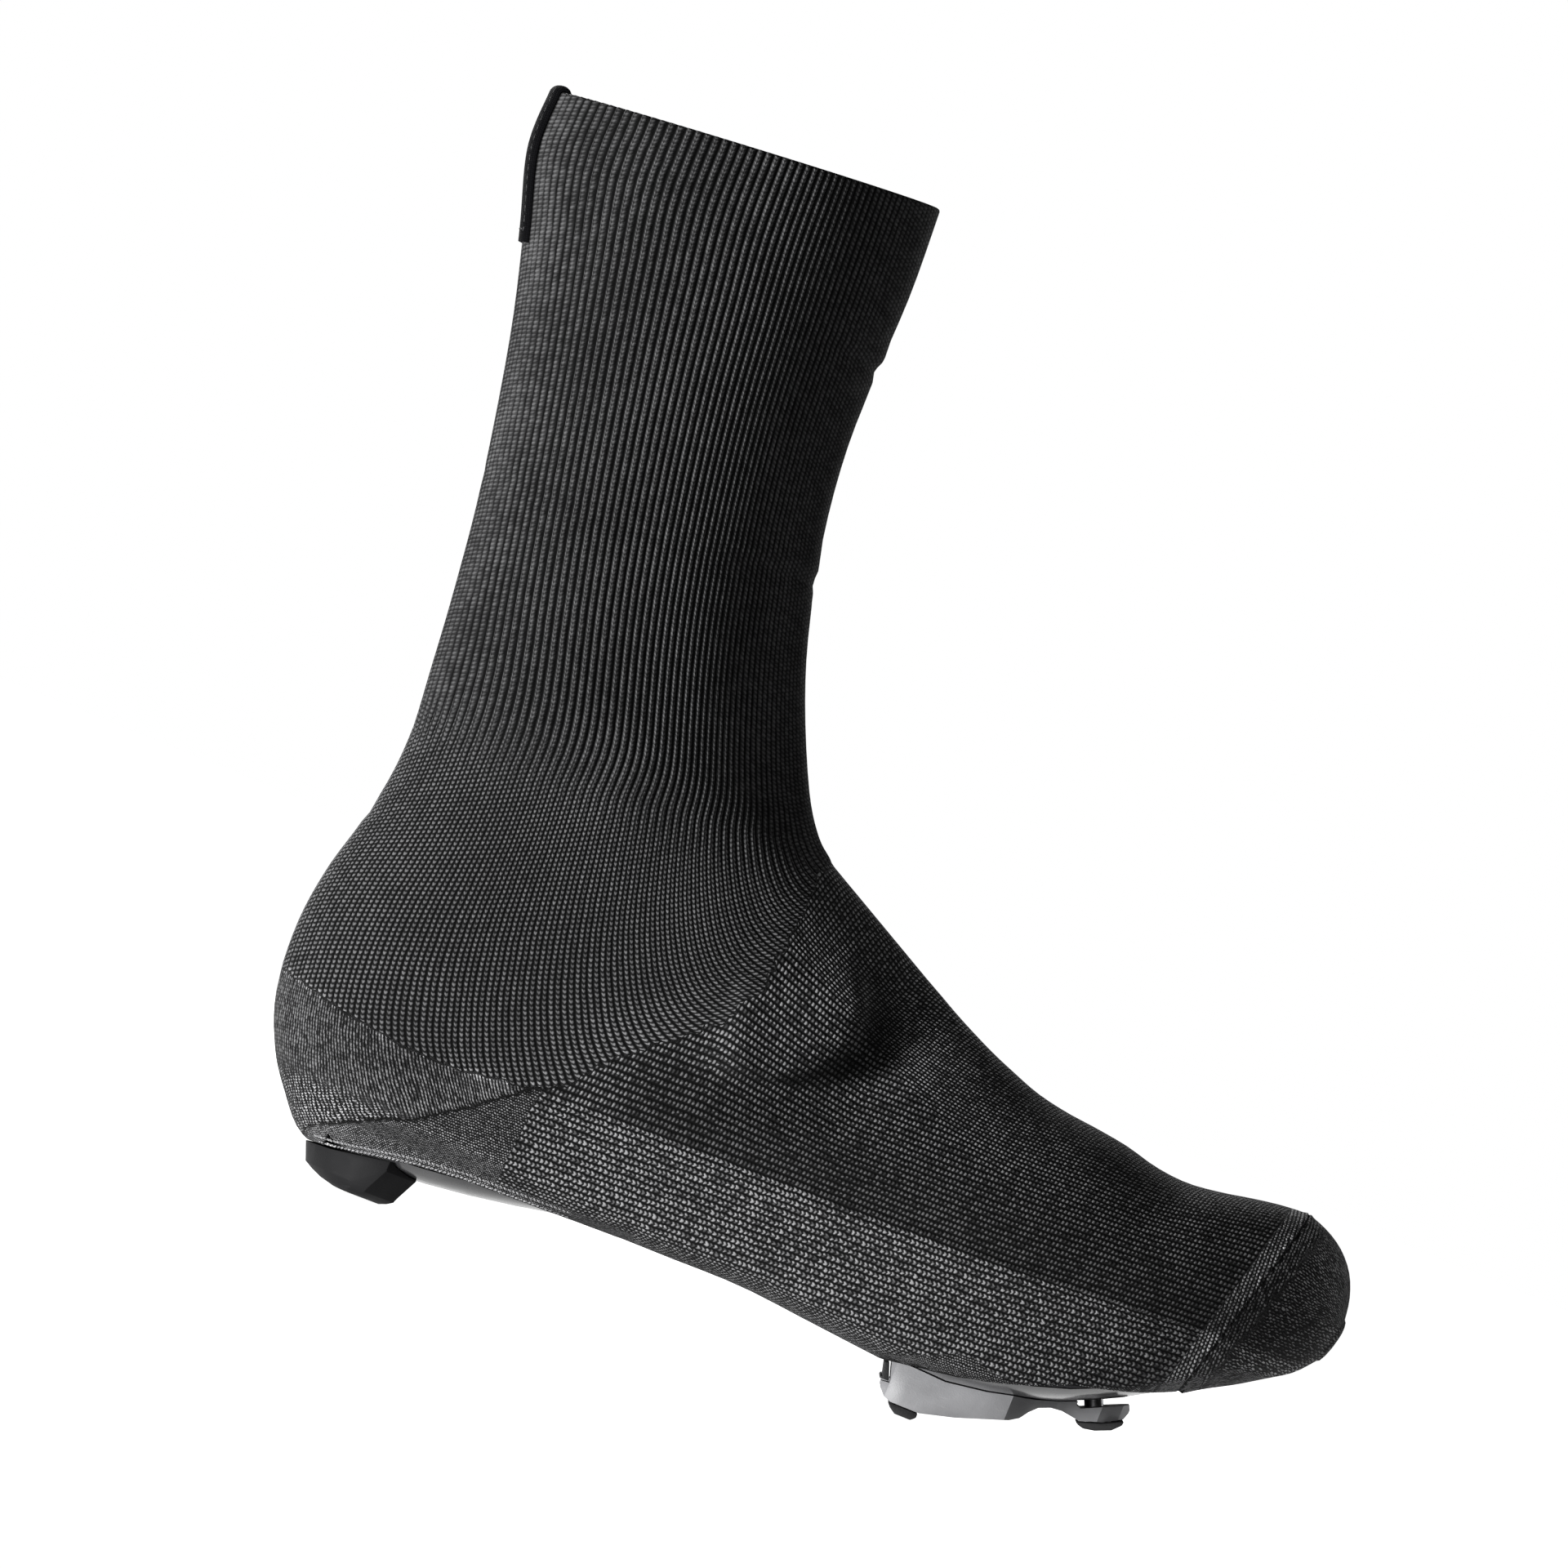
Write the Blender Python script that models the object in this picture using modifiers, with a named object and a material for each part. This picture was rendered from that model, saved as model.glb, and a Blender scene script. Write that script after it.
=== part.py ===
"""Knitted cycling overshoe for the right foot, drawn over the sole of a road shoe.

The knitted upper is one hollow wall, open at the collar and, underneath, at the heel and
the cleat. A stiff sole plate and an insole lie inside it. The heel pad and the three-bolt
cleat hang under the plate, and the shoe stands on them. Metres, +Z up, toe towards +X,
inner (big toe) side towards +Y.
"""

import math
from collections import namedtuple

import bmesh
import bpy
import numpy as np
from mathutils import Matrix, Vector

MM = 0.001

# Driving sizes of the last, in millimetres
FOOT_LENGTH = 290.0
BALL_WIDTH = 99.0
COLLAR_HEIGHT = 292.0
WALL = 1.6  # double knit
GAP = 0.3  # between pieces that meet

# Sizes that the section table is drawn for; the driving sizes grade it
PATTERN_LENGTH = 290.0
PATTERN_WIDTH = 99.0
PATTERN_HEIGHT = 292.0
GRADE_X = FOOT_LENGTH / PATTERN_LENGTH
GRADE_Y = BALL_WIDTH / PATTERN_WIDTH
GRADE_Z = COLLAR_HEIGHT / PATTERN_HEIGHT

# One row for each section of the last, from the collar round the heel to the toe.
# top and sole are the section's two ends in the side view: the front or instep line, and
# the back, heel or sole line. half is its half width, shift moves it towards the big toe,
# level is where it is widest (0 top, 1 sole), crown and base are how square each end is.
Section = namedtuple("Section", "top_x top_z sole_x sole_z half shift level crown base")
SECTIONS = [
    Section(84.4, 292.0, -18.6, 283.2, 46.0, 0.0, 0.50, 2.1, 2.1),  # collar rim
    Section(85.4, 270.0, -18.5, 268.0, 46.0, 0.0, 0.50, 2.1, 2.1),
    Section(85.0, 248.0, -12.6, 248.0, 45.0, 0.0, 0.50, 2.1, 2.1),
    Section(85.2, 226.0, -6.6, 226.0, 43.0, 0.0, 0.50, 2.1, 2.1),
    Section(88.0, 203.0, -1.7, 203.0, 41.0, 0.0, 0.50, 2.1, 2.1),
    Section(93.6, 179.0, 2.6, 179.0, 39.2, 0.0, 0.52, 2.1, 2.1),
    Section(100.2, 160.0, 5.1, 160.0, 38.0, 0.0, 0.52, 2.1, 2.1),
    Section(109.5, 140.0, 7.2, 140.0, 37.0, 0.0, 0.52, 2.1, 2.1),  # throat
    Section(116.0, 130.4, 8.7, 119.0, 36.6, 0.0, 0.53, 2.2, 2.1),
    Section(121.5, 125.9, 8.2, 104.0, 36.5, 0.0, 0.55, 2.3, 2.2),
    Section(126.5, 123.0, 5.6, 90.0, 36.5, 0.0, 0.57, 2.4, 2.4),
    Section(131.5, 120.3, 1.8, 75.0, 36.5, 0.0, 0.58, 2.4, 2.6),
    Section(136.5, 117.6, 0.0, 59.0, 36.5, 0.0, 0.60, 2.4, 2.8),  # back of the heel
    Section(141.5, 114.9, 1.4, 41.0, 36.5, 0.0, 0.62, 2.4, 3.0),
    Section(146.5, 112.2, 6.2, 28.0, 36.5, 0.0, 0.63, 2.4, 3.1),
    Section(151.5, 109.5, 12.6, 18.4, 36.5, 0.0, 0.64, 2.4, 3.2),
    Section(156.5, 106.8, 21.6, 9.2, 36.5, 0.0, 0.65, 2.4, 3.4),
    Section(161.5, 104.2, 36.0, 6.6, 37.0, 0.0, 0.66, 2.4, 3.7),  # seat of the heel
    Section(167.0, 101.3, 51.0, 6.9, 38.0, 0.0, 0.67, 2.4, 4.0),
    Section(173.0, 98.4, 67.0, 8.7, 39.0, -0.5, 0.68, 2.4, 4.2),
    Section(179.5, 95.5, 84.0, 11.6, 40.2, -1.0, 0.68, 2.4, 4.4),
    Section(186.5, 92.8, 102.0, 14.9, 41.8, -1.5, 0.68, 2.4, 4.6),  # arch
    Section(194.0, 90.2, 121.0, 15.3, 43.8, -2.0, 0.68, 2.4, 4.8),
    Section(202.5, 88.5, 141.0, 15.4, 46.0, -2.2, 0.68, 2.4, 5.0),
    Section(211.5, 87.5, 161.0, 13.6, 48.0, -2.3, 0.67, 2.4, 5.0),
    Section(220.5, 86.2, 180.0, 11.8, 49.3, -2.0, 0.66, 2.4, 5.0),
    Section(229.5, 84.0, 198.0, 10.4, 49.5, -1.2, 0.65, 2.4, 5.0),  # ball
    Section(238.5, 83.2, 213.5, 12.6, 48.8, 0.0, 0.64, 2.4, 4.8),
    Section(247.5, 84.2, 227.0, 16.2, 47.6, 1.4, 0.63, 2.5, 4.4),
    Section(256.0, 85.8, 238.5, 20.8, 45.6, 3.2, 0.62, 2.5, 4.0),
    Section(264.0, 87.0, 247.8, 25.7, 42.9, 5.0, 0.60, 2.5, 3.6),
    Section(271.0, 87.2, 255.3, 30.6, 39.6, 6.6, 0.58, 2.5, 3.2),  # toe seam
    Section(277.3, 85.1, 262.6, 35.3, 35.8, 8.0, 0.56, 2.4, 2.9),
    Section(282.6, 81.6, 269.6, 39.2, 31.2, 9.2, 0.54, 2.3, 2.6),
    Section(286.6, 76.8, 276.4, 43.6, 25.4, 10.2, 0.52, 2.2, 2.4),
    Section(289.0, 71.0, 282.6, 47.8, 18.2, 10.8, 0.50, 2.1, 2.2),
    Section(289.9, 65.5, 287.0, 52.8, 10.0, 11.0, 0.50, 2.0, 2.0),
]
TOE_TIP = (290.2, 11.0, 60.0)
TOE_SEAM_ROW = 31
LAST_ROW = len(SECTIONS) - 1

# Soft forms that the shoe's collar pushes through the knit, both sides alike: a ridge
# where rise is positive, a trough where it is negative. slant is the fold's angle.
Fold = namedtuple("Fold", "x z slant length breadth rise")
FOLDS = [
    Fold(116.0, 92.0, 55.0, 30.0, 24.0, 4.0),  # ankle collar of the shoe
    Fold(136.0, 88.0, 70.0, 20.0, 10.0, 2.2),  # its front edge
    Fold(158.0, 92.0, 62.0, 22.0, 9.0, -3.6),  # hollow beside the tongue
    Fold(140.0, 68.0, 28.0, 22.0, 8.0, -2.6),  # hollow under the collar
]

# Toe seam: how far each row stands off the wall, in rows from the seam
SeamStep = namedtuple("SeamStep", "rows_on stand_off")
SEAM_STEPS = [
    SeamStep(-0.28, 0.0),
    SeamStep(-0.09, 0.6),
    SeamStep(0.09, 0.6),
    SeamStep(0.28, 0.0),
]

# Facets of the lofted forms
BODY_ROWS = 44
TOE_ROWS = 6
AROUND = 36
FINE = 160  # points that each half section is measured with
TURN_WEIGHT = 0.6  # share of the columns that goes where a section turns
TURN_SPREAD = 25

# Openings under the foot
HemPoint = namedtuple("HemPoint", "x z")
HEEL_HEM = [
    HemPoint(-30.0, 8.4),
    HemPoint(22.0, 8.5),
    HemPoint(30.0, 9.2),
    HemPoint(40.0, 11.0),
    HemPoint(52.0, 13.2),
    HemPoint(65.0, 14.4),
    HemPoint(96.0, 15.4),
]
HEEL_OPENING_FRONT = 93.0
HEEL_OPENING_HALF = 46.0
HEEL_OPENING_ROUND = 30.0
CLEAT_OPENING_MIDDLE = 219.0
CLEAT_OPENING_HALF_LENGTH = 38.6
CLEAT_OPENING_HALF_WIDTH = 45.6
CLEAT_OPENING_SQUARENESS = 4.2
CLEAT_OPENING_SHIFT = -1.0
OPENING_TOP = 10.0  # above the sole line
BELOW_FLOOR = -6.0

# Sole plate and insole
PLATE_THICK = 4.0
PLATE_FRONT = 279.0
INSOLE_THICK = 3.0
INSOLE_EASE = 0.5
SLAB_HALF_WIDTH = 70.0

# Heel pad
PAD_REAR = 22.6
PAD_FRONT = 53.6
PAD_HALF_WIDTH = 28.5
PAD_CORNER = 8.0
PadLevel = namedtuple("PadLevel", "height rear front side")
PAD_LEVELS = [
    PadLevel(0.0, 10.5, 7.0, 6.0),  # insets of the flat that stands on the floor
    PadLevel(0.8, 7.0, 5.0, 3.4),
    PadLevel(1.8, 4.6, 3.5, 2.4),
    PadLevel(3.1, 2.2, 3.0, 1.8),
    PadLevel(8.8, 0.0, 0.2, 0.0),
    PadLevel(16.0, 0.0, 0.0, 0.0),
]
PAD_HEM_GAP = 0.5

# Three-bolt cleat, side profile under the ball
CLEAT_REAR = 184.0
CLEAT_HALF_WIDTH = 30.0
CLEAT_NOSE_HALF = 16.0
CLEAT_WAIST_X = 228.5
CLEAT_WAIST_HALF = 17.0
CLEAT_SHOULDER_X = 217.0
CLEAT_FRONT = 246.6
CLEAT_CORNER = 7.0
CLEAT_TOP = 40.0
CHANNEL_HALF = 11.0
CHANNEL_DEEP = 4.0

# Bolts: the rear pair lies 37 mm apart, the front one in the nose. drop is how far each
# washer seat lies under the plate.
Bolt = namedtuple("Bolt", "name x y drop")
BOLTS = [
    Bolt("bolt_outer", 203.0, -18.5, 1.4),
    Bolt("bolt_inner", 203.0, 18.5, 1.4),
    Bolt("bolt_front", 237.0, 0.0, 2.7),
]
BOLT_RADIUS = 2.5
BOLT_INTO_PLATE = 2.4
HEAD_RADIUS = 4.2
HEAD_THICK = 2.0
HEX_RADIUS = 2.0
HEX_DEEP = 1.2
WASHER_HALF_LENGTH = 6.0
WASHER_HALF_WIDTH = 5.0
WASHER_THICK = 1.0
ROUND_SIDES = 16

# Pull tab at the back of the collar
TAB_HALF_WIDTH = 13.0
TAB_FOOT = 244.0
TAB_THICK = 1.4
TAB_REACH = 24.0


def spline_rows(rows_on):
    """Section values at the given row numbers, on a smooth curve through the table."""
    table = np.array(SECTIONS, float)
    first = np.clip(np.floor(rows_on).astype(int), 0, LAST_ROW - 1)
    part = (rows_on - first)[:, None]
    before, after = np.maximum(first - 1, 0), np.minimum(first + 2, LAST_ROW)
    p0, p1, p2, p3 = table[before], table[first], table[first + 1], table[after]
    return 0.5 * (
        2 * p1
        + (p2 - p0) * part
        + (2 * p0 - 5 * p1 + 4 * p2 - p3) * part**2
        + (3 * p1 - p0 - 3 * p2 + p3) * part**3
    )


def fold_rise(x, z):
    """How far the folds push the wall outwards at a point of the side view."""
    rise = np.zeros_like(x)
    for fold in FOLDS:
        turn = math.radians(fold.slant)
        along = (x - fold.x) * math.cos(turn) + (z - fold.z) * math.sin(turn)
        across = (z - fold.z) * math.cos(turn) - (x - fold.x) * math.sin(turn)
        rise += fold.rise * np.exp(-((along / fold.length) ** 2) - (across / fold.breadth) ** 2)
    return rise


def half_section(section, side, stand_off=0.0):
    """Closely spaced points of half a section, from its top to its sole, in millimetres."""
    turn = np.linspace(0.0, math.pi / 2, FINE)
    crown, base = 2.0 / section.crown, 2.0 / section.base
    upper_at = section.level * (1.0 - np.cos(turn) ** crown)
    lower_at = section.level + (1.0 - section.level) * np.sin(turn) ** base
    share = np.concatenate([upper_at, lower_at[1:]])
    wide = np.concatenate([np.sin(turn) ** crown, np.cos(turn[1:]) ** base])
    length = math.hypot(section.sole_x - section.top_x, section.sole_z - section.top_z)
    share = share + stand_off / length * (2.0 * share - 1.0)
    x = section.top_x + share * (section.sole_x - section.top_x)
    z = section.top_z + share * (section.sole_z - section.top_z)
    out = wide * (section.half + stand_off + fold_rise(x, z))
    y = section.shift + side * out
    return np.stack([x * GRADE_X, y * GRADE_Y, z * GRADE_Z], axis=1)


def stepped(points, count):
    """The same line with count steps, shorter where it turns."""
    edges = np.diff(points, axis=0)
    steps = np.linalg.norm(edges, axis=1)
    unit = edges / np.maximum(steps, 1e-9)[:, None]
    turns = np.arccos(np.clip(np.sum(unit[1:] * unit[:-1], axis=1), -1.0, 1.0))
    turned = np.convolve(np.concatenate([[0.0], turns]), np.ones(TURN_SPREAD) / TURN_SPREAD, "same")
    weight = steps / steps.sum() + TURN_WEIGHT * turned / max(turned.sum(), 1e-9)
    run = np.concatenate([[0.0], np.cumsum(weight)])
    wanted = np.linspace(0.0, run[-1], count + 1)
    return np.stack([np.interp(wanted, run, points[:, axis]) for axis in range(3)], axis=1)


def loop_points(section, stand_off=0.0):
    """One closed section: down the outer side from the top, and back up the inner side."""
    outer = stepped(half_section(section, -1.0, stand_off), AROUND // 2)
    inner = stepped(half_section(section, 1.0, stand_off), AROUND // 2)
    return np.concatenate([outer, inner[-2:0:-1]])


def loft_rows():
    """Row numbers of the loft, closer together at the toe seam, and each row's stand-off."""
    body = np.linspace(0.0, TOE_SEAM_ROW - 0.7, BODY_ROWS)
    seam = [TOE_SEAM_ROW + step.rows_on for step in SEAM_STEPS]
    toe = np.linspace(TOE_SEAM_ROW + 0.8, LAST_ROW, TOE_ROWS)
    off = [0.0] * len(body) + [step.stand_off for step in SEAM_STEPS]
    return np.concatenate([body, seam, toe]), off + [0.0] * len(toe)


def last_bmesh(close_collar, rim_rise=0.0):
    """The last as a lofted surface, open at the collar unless it is closed for a form."""
    rows_on, stand_off = loft_rows()
    mesh = bmesh.new()
    rings = []
    for values, off in zip(spline_rows(rows_on), stand_off):
        ring = loop_points(Section(*values), 0.0 if close_collar else off)
        if rim_rise and not rings:
            rings.append([mesh.verts.new((point + (0.0, 0.0, rim_rise)) * MM) for point in ring])
        rings.append([mesh.verts.new(point * MM) for point in ring])
    for lower, upper in zip(rings, rings[1:]):
        for i in range(AROUND):
            k = (i + 1) % AROUND
            mesh.faces.new((lower[i], lower[k], upper[k], upper[i]))
    tip = mesh.verts.new(Vector(TOE_TIP) * MM)
    for i in range(AROUND):
        mesh.faces.new((rings[-1][i], rings[-1][(i + 1) % AROUND], tip))
    bmesh.ops.triangulate(mesh, faces=mesh.faces, quad_method="FIXED")
    if close_collar:
        mesh.faces.new(rings[0])
    bmesh.ops.recalc_face_normals(mesh, faces=mesh.faces)
    return mesh


def object_from(mesh, name, collection):
    """A new object that holds a finished bmesh."""
    data = bpy.data.meshes.new(name)
    mesh.to_mesh(data)
    mesh.free()
    item = bpy.data.objects.new(name, data)
    collection.objects.link(item)
    return item


def hidden(item):
    """Marks a form that only cuts or shapes others."""
    item.hide_render = True
    item.display_type = "WIRE"
    return item


def boolean(item, operation, form):
    """Cuts or trims item with another form."""
    modifier = item.modifiers.new(operation.lower(), "BOOLEAN")
    modifier.operation = operation
    modifier.object = form
    modifier.solver = "EXACT"


def last_form(name, inset, collection):
    """The closed space inside the last, inset from its outer face."""
    form = object_from(last_bmesh(close_collar=True), name, collection)
    shrink = form.modifiers.new("inset", "DISPLACE")
    shrink.direction = "NORMAL"
    shrink.mid_level = 0.0
    shrink.strength = -inset * MM
    return form


def prism(name, outline, low, high, collection):
    """A plan outline (x, y) carried between two heights, which may depend on x."""
    mesh = bmesh.new()
    ends = []
    for height in (low, high):
        points = [(x, y, height(x) if callable(height) else height) for x, y in outline]
        ends.append([mesh.verts.new(Vector(point) * MM) for point in points])
    for i in range(len(outline)):
        k = (i + 1) % len(outline)
        mesh.faces.new((ends[0][i], ends[0][k], ends[1][k], ends[1][i]))
    mesh.faces.new(ends[0])
    mesh.faces.new(ends[1])
    bmesh.ops.recalc_face_normals(mesh, faces=mesh.faces)
    return object_from(mesh, name, collection)


def side_prism(name, profile, from_y, to_y, collection):
    """A side profile (x, z) carried across the shoe."""
    item = prism(name, profile, from_y, to_y, collection)
    for vertex in item.data.vertices:
        x, z, y = vertex.co
        vertex.co = (x, y, z)
    item.data.flip_normals()
    return item


def box_form(name, middle, size, tilt, collection):
    """A box of the given size, tilted about Y with the sole."""
    mesh = bmesh.new()
    bmesh.ops.create_cube(mesh, size=1.0)
    place = Matrix.Translation(Vector(middle) * MM) @ Matrix.Rotation(-tilt, 4, "Y")
    bmesh.ops.transform(mesh, matrix=place @ Matrix.Diagonal((*(Vector(size) * MM), 1.0)), verts=mesh.verts)
    return object_from(mesh, name, collection)


def round_form(name, middle, radius, length, tilt, collection, sides=ROUND_SIDES):
    """A cylinder whose axis leans with the sole."""
    mesh = bmesh.new()
    bmesh.ops.create_cone(
        mesh,
        cap_ends=True,
        segments=sides,
        radius1=radius * MM,
        radius2=radius * MM,
        depth=length * MM,
    )
    place = Matrix.Translation(Vector(middle) * MM) @ Matrix.Rotation(-tilt, 4, "Y")
    bmesh.ops.transform(mesh, matrix=place, verts=mesh.verts)
    return object_from(mesh, name, collection)


def sole_height(x):
    """Height of the knit's outer face along the middle of the sole."""
    rows = spline_rows(np.linspace(0.0, LAST_ROW, 12 * LAST_ROW))
    seat = np.argmin(np.abs(np.arange(len(rows)) - 12 * 16))
    line = rows[seat:]
    return float(np.interp(x, line[:, 2] * GRADE_X, line[:, 3] * GRADE_Z))


def sole_tilt(x):
    """Slope of the sole line at x, as an angle."""
    reach = 8.0
    return math.atan2(sole_height(x + reach) - sole_height(x - reach), 2.0 * reach)


def plate_under(x):
    """Height of the sole plate's underside along the middle of the sole."""
    return sole_height(x) + (WALL + GAP) / math.cos(sole_tilt(x))


def sole_lean(x):
    """Direction square to the sole line at x, upwards."""
    return Vector((-math.sin(sole_tilt(x)), 0.0, math.cos(sole_tilt(x))))


def bolt_seat(bolt):
    """The point of a bolt's axis where its washer rests."""
    under = Vector((bolt.x, bolt.y, plate_under(bolt.x)))
    return under - sole_lean(bolt.x) * bolt.drop


def superellipse(middle, half_length, half_width, squareness, count):
    """A rounded plan outline."""
    points = []
    for i in range(count):
        turn = 2.0 * math.pi * i / count
        cos, sin = math.cos(turn), math.sin(turn)
        x = math.copysign(abs(cos) ** (2.0 / squareness), cos)
        y = math.copysign(abs(sin) ** (2.0 / squareness), sin)
        points.append((middle + half_length * x, half_width * y))
    return points


def below_hem_form(name, clearance, collection):
    """Everything below the knit's edge at the heel."""
    line = [(point.x, point.z - clearance) for point in HEEL_HEM]
    floor = [(HEEL_HEM[-1].x, BELOW_FLOOR), (HEEL_HEM[0].x, BELOW_FLOOR)]
    return hidden(side_prism(name, line + floor, -SLAB_HALF_WIDTH, SLAB_HALF_WIDTH, collection))


def heel_opening_form(collection):
    """The cut below the hem at the heel, with a round front end under the arch."""
    form = below_hem_form("heel_opening", 0.0, collection)
    outline = [(HEEL_HEM[0].x, -HEEL_OPENING_HALF), (HEEL_HEM[0].x, HEEL_OPENING_HALF)]
    for i in range(13):
        turn = math.pi / 2 - math.pi * i / 12
        x = HEEL_OPENING_FRONT - HEEL_OPENING_ROUND * (1.0 - math.cos(turn))
        outline.append((x, HEEL_OPENING_HALF * math.sin(turn)))
    plan = prism("heel_opening_plan", outline, 2.0 * BELOW_FLOOR, CLEAT_TOP, collection)
    boolean(form, "INTERSECT", hidden(plan))
    return form


def cleat_opening_form(collection):
    """The oval cut that the cleat comes through."""
    outline = superellipse(
        CLEAT_OPENING_MIDDLE,
        CLEAT_OPENING_HALF_LENGTH,
        CLEAT_OPENING_HALF_WIDTH,
        CLEAT_OPENING_SQUARENESS,
        40,
    )
    outline = [(x, y + CLEAT_OPENING_SHIFT) for x, y in outline]
    form = prism("cleat_opening", outline, BELOW_FLOOR, CLEAT_TOP, collection)
    boolean(form, "INTERSECT", footbed_form("cleat_opening_slab", -40.0, OPENING_TOP, collection))
    return hidden(form)


def footbed_form(name, rise_low, rise_high, collection):
    """A slab across the shoe that follows the sole line between two heights above it."""
    stations = np.linspace(-6.0, PLATE_FRONT, 30)
    seat = 30.0  # the slab stays level behind the seat of the heel
    upper = [(x, sole_height(max(x, seat)) + rise_high) for x in stations]
    lower = [(x, sole_height(max(x, seat)) + rise_low) for x in stations[::-1]]
    return hidden(side_prism(name, upper + lower, -SLAB_HALF_WIDTH, SLAB_HALF_WIDTH, collection))


def knit_upper(parts, forms):
    """The knitted wall: an open loft with thickness, cut away under the heel and the cleat."""
    upper = object_from(last_bmesh(close_collar=False), "knit_upper", parts)
    wall = upper.modifiers.new("wall", "SOLIDIFY")
    wall.thickness = WALL * MM
    wall.offset = -1.0
    boolean(upper, "DIFFERENCE", heel_opening_form(forms))
    boolean(upper, "DIFFERENCE", cleat_opening_form(forms))
    return upper


def sole_plate(parts, forms):
    """The stiff plate under the foot, with a blind hole for each bolt."""
    plate = last_form("sole_plate", WALL + GAP, parts)
    plate_top = WALL + GAP + PLATE_THICK
    boolean(plate, "INTERSECT", footbed_form("plate_slab", -30.0, plate_top, forms))
    for bolt in BOLTS:
        middle = bolt_seat(bolt) + sole_lean(bolt.x) * bolt.drop
        hole = round_form(f"{bolt.name}_hole", middle, BOLT_RADIUS + GAP, 6.0, sole_tilt(bolt.x), forms)
        boolean(plate, "DIFFERENCE", hidden(hole))
    return plate


def insole(parts, forms):
    """A thin foam sole that lies on the plate."""
    sole = last_form("insole", WALL + INSOLE_EASE, parts)
    low = WALL + GAP + PLATE_THICK + GAP
    boolean(sole, "INTERSECT", footbed_form("insole_slab", low, low + INSOLE_THICK, forms))
    return sole


def heel_pad(parts, forms, lining):
    """The rubber pad under the heel: round behind, cut corners in front, flat underneath."""
    mesh = bmesh.new()
    rings = []
    for level in PAD_LEVELS:
        half = PAD_HALF_WIDTH - level.side
        front = PAD_FRONT - level.front
        corner = front - PAD_CORNER
        depth = corner - PAD_REAR - level.rear
        outline = []
        for i in range(13):
            turn = math.pi / 2 + math.pi * i / 12
            outline.append((corner + depth * math.cos(turn), half * math.sin(turn)))
        outline += [(front, -half + PAD_CORNER), (front, half - PAD_CORNER)]
        rings.append([mesh.verts.new(Vector((x, y, level.height)) * MM) for x, y in outline])
    for lower, upper in zip(rings, rings[1:]):
        for i in range(len(lower)):
            k = (i + 1) % len(lower)
            mesh.faces.new((lower[i], lower[k], upper[k], upper[i]))
    mesh.faces.new(rings[0])
    mesh.faces.new(rings[-1])
    bmesh.ops.recalc_face_normals(mesh, faces=mesh.faces)
    pad = object_from(mesh, "heel_pad", parts)
    boolean(pad, "DIFFERENCE", lining)
    boolean(pad, "INTERSECT", below_hem_form("below_hem", PAD_HEM_GAP, forms))
    return pad


def cleat_outline():
    """Plan of the cleat: wide wings behind, a narrow waist and a round nose in front."""
    side = [
        (CLEAT_REAR, CLEAT_HALF_WIDTH - CLEAT_CORNER),
        (CLEAT_REAR + 0.3 * CLEAT_CORNER, CLEAT_HALF_WIDTH - 0.3 * CLEAT_CORNER),
        (CLEAT_REAR + CLEAT_CORNER, CLEAT_HALF_WIDTH),
        (CLEAT_SHOULDER_X, CLEAT_HALF_WIDTH),
        (CLEAT_SHOULDER_X + 4.0, CLEAT_HALF_WIDTH - 4.0),
        (CLEAT_WAIST_X - 3.5, CLEAT_WAIST_HALF + 2.0),
        (CLEAT_WAIST_X, CLEAT_WAIST_HALF),
        (CLEAT_FRONT - 7.0, CLEAT_NOSE_HALF),
        (CLEAT_FRONT - 2.0, CLEAT_NOSE_HALF - 4.0),
        (CLEAT_FRONT, CLEAT_NOSE_HALF - 9.5),
    ]
    return side + [(x, -y) for x, y in side[::-1]]


def cleat_profile():
    """Side profile of the cleat body, from its rear top round under it to the nose."""
    return [
        (184.6, CLEAT_TOP),
        (184.6, 12.2),
        (186.1, 7.6),
        (186.1, 6.9),
        (184.0, 6.6),
        (184.3, 5.0),
        (186.0, 3.2),
        (188.0, 2.5),
        (196.0, 2.5),
        (205.0, 4.9),
        (218.2, 9.5),
        (220.6, 11.0),
        (222.2, 13.2),
        (224.2, 15.1),
        (227.2, 16.3),
        (230.2, 16.6),
        (232.4, 16.3),
        (235.2, 15.9),
        (241.0, 17.8),
        (245.9, 20.4),
        (246.8, 22.8),
        (246.0, 24.4),
        (240.0, 21.6),
        (234.5, 19.0),
        (233.2, 19.4),
        (233.2, CLEAT_TOP),
    ]


def pocket_form(bolt, forms):
    """The seat of a bolt's washer, cut into the cleat from below."""
    deep = 20.0
    size = (2.0 * WASHER_HALF_LENGTH + 1.0, 2.0 * WASHER_HALF_WIDTH + 1.0, deep)
    middle = bolt_seat(bolt) - sole_lean(bolt.x) * 0.5 * deep
    return hidden(box_form(f"{bolt.name}_pocket", middle, size, sole_tilt(bolt.x), forms))


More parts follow.
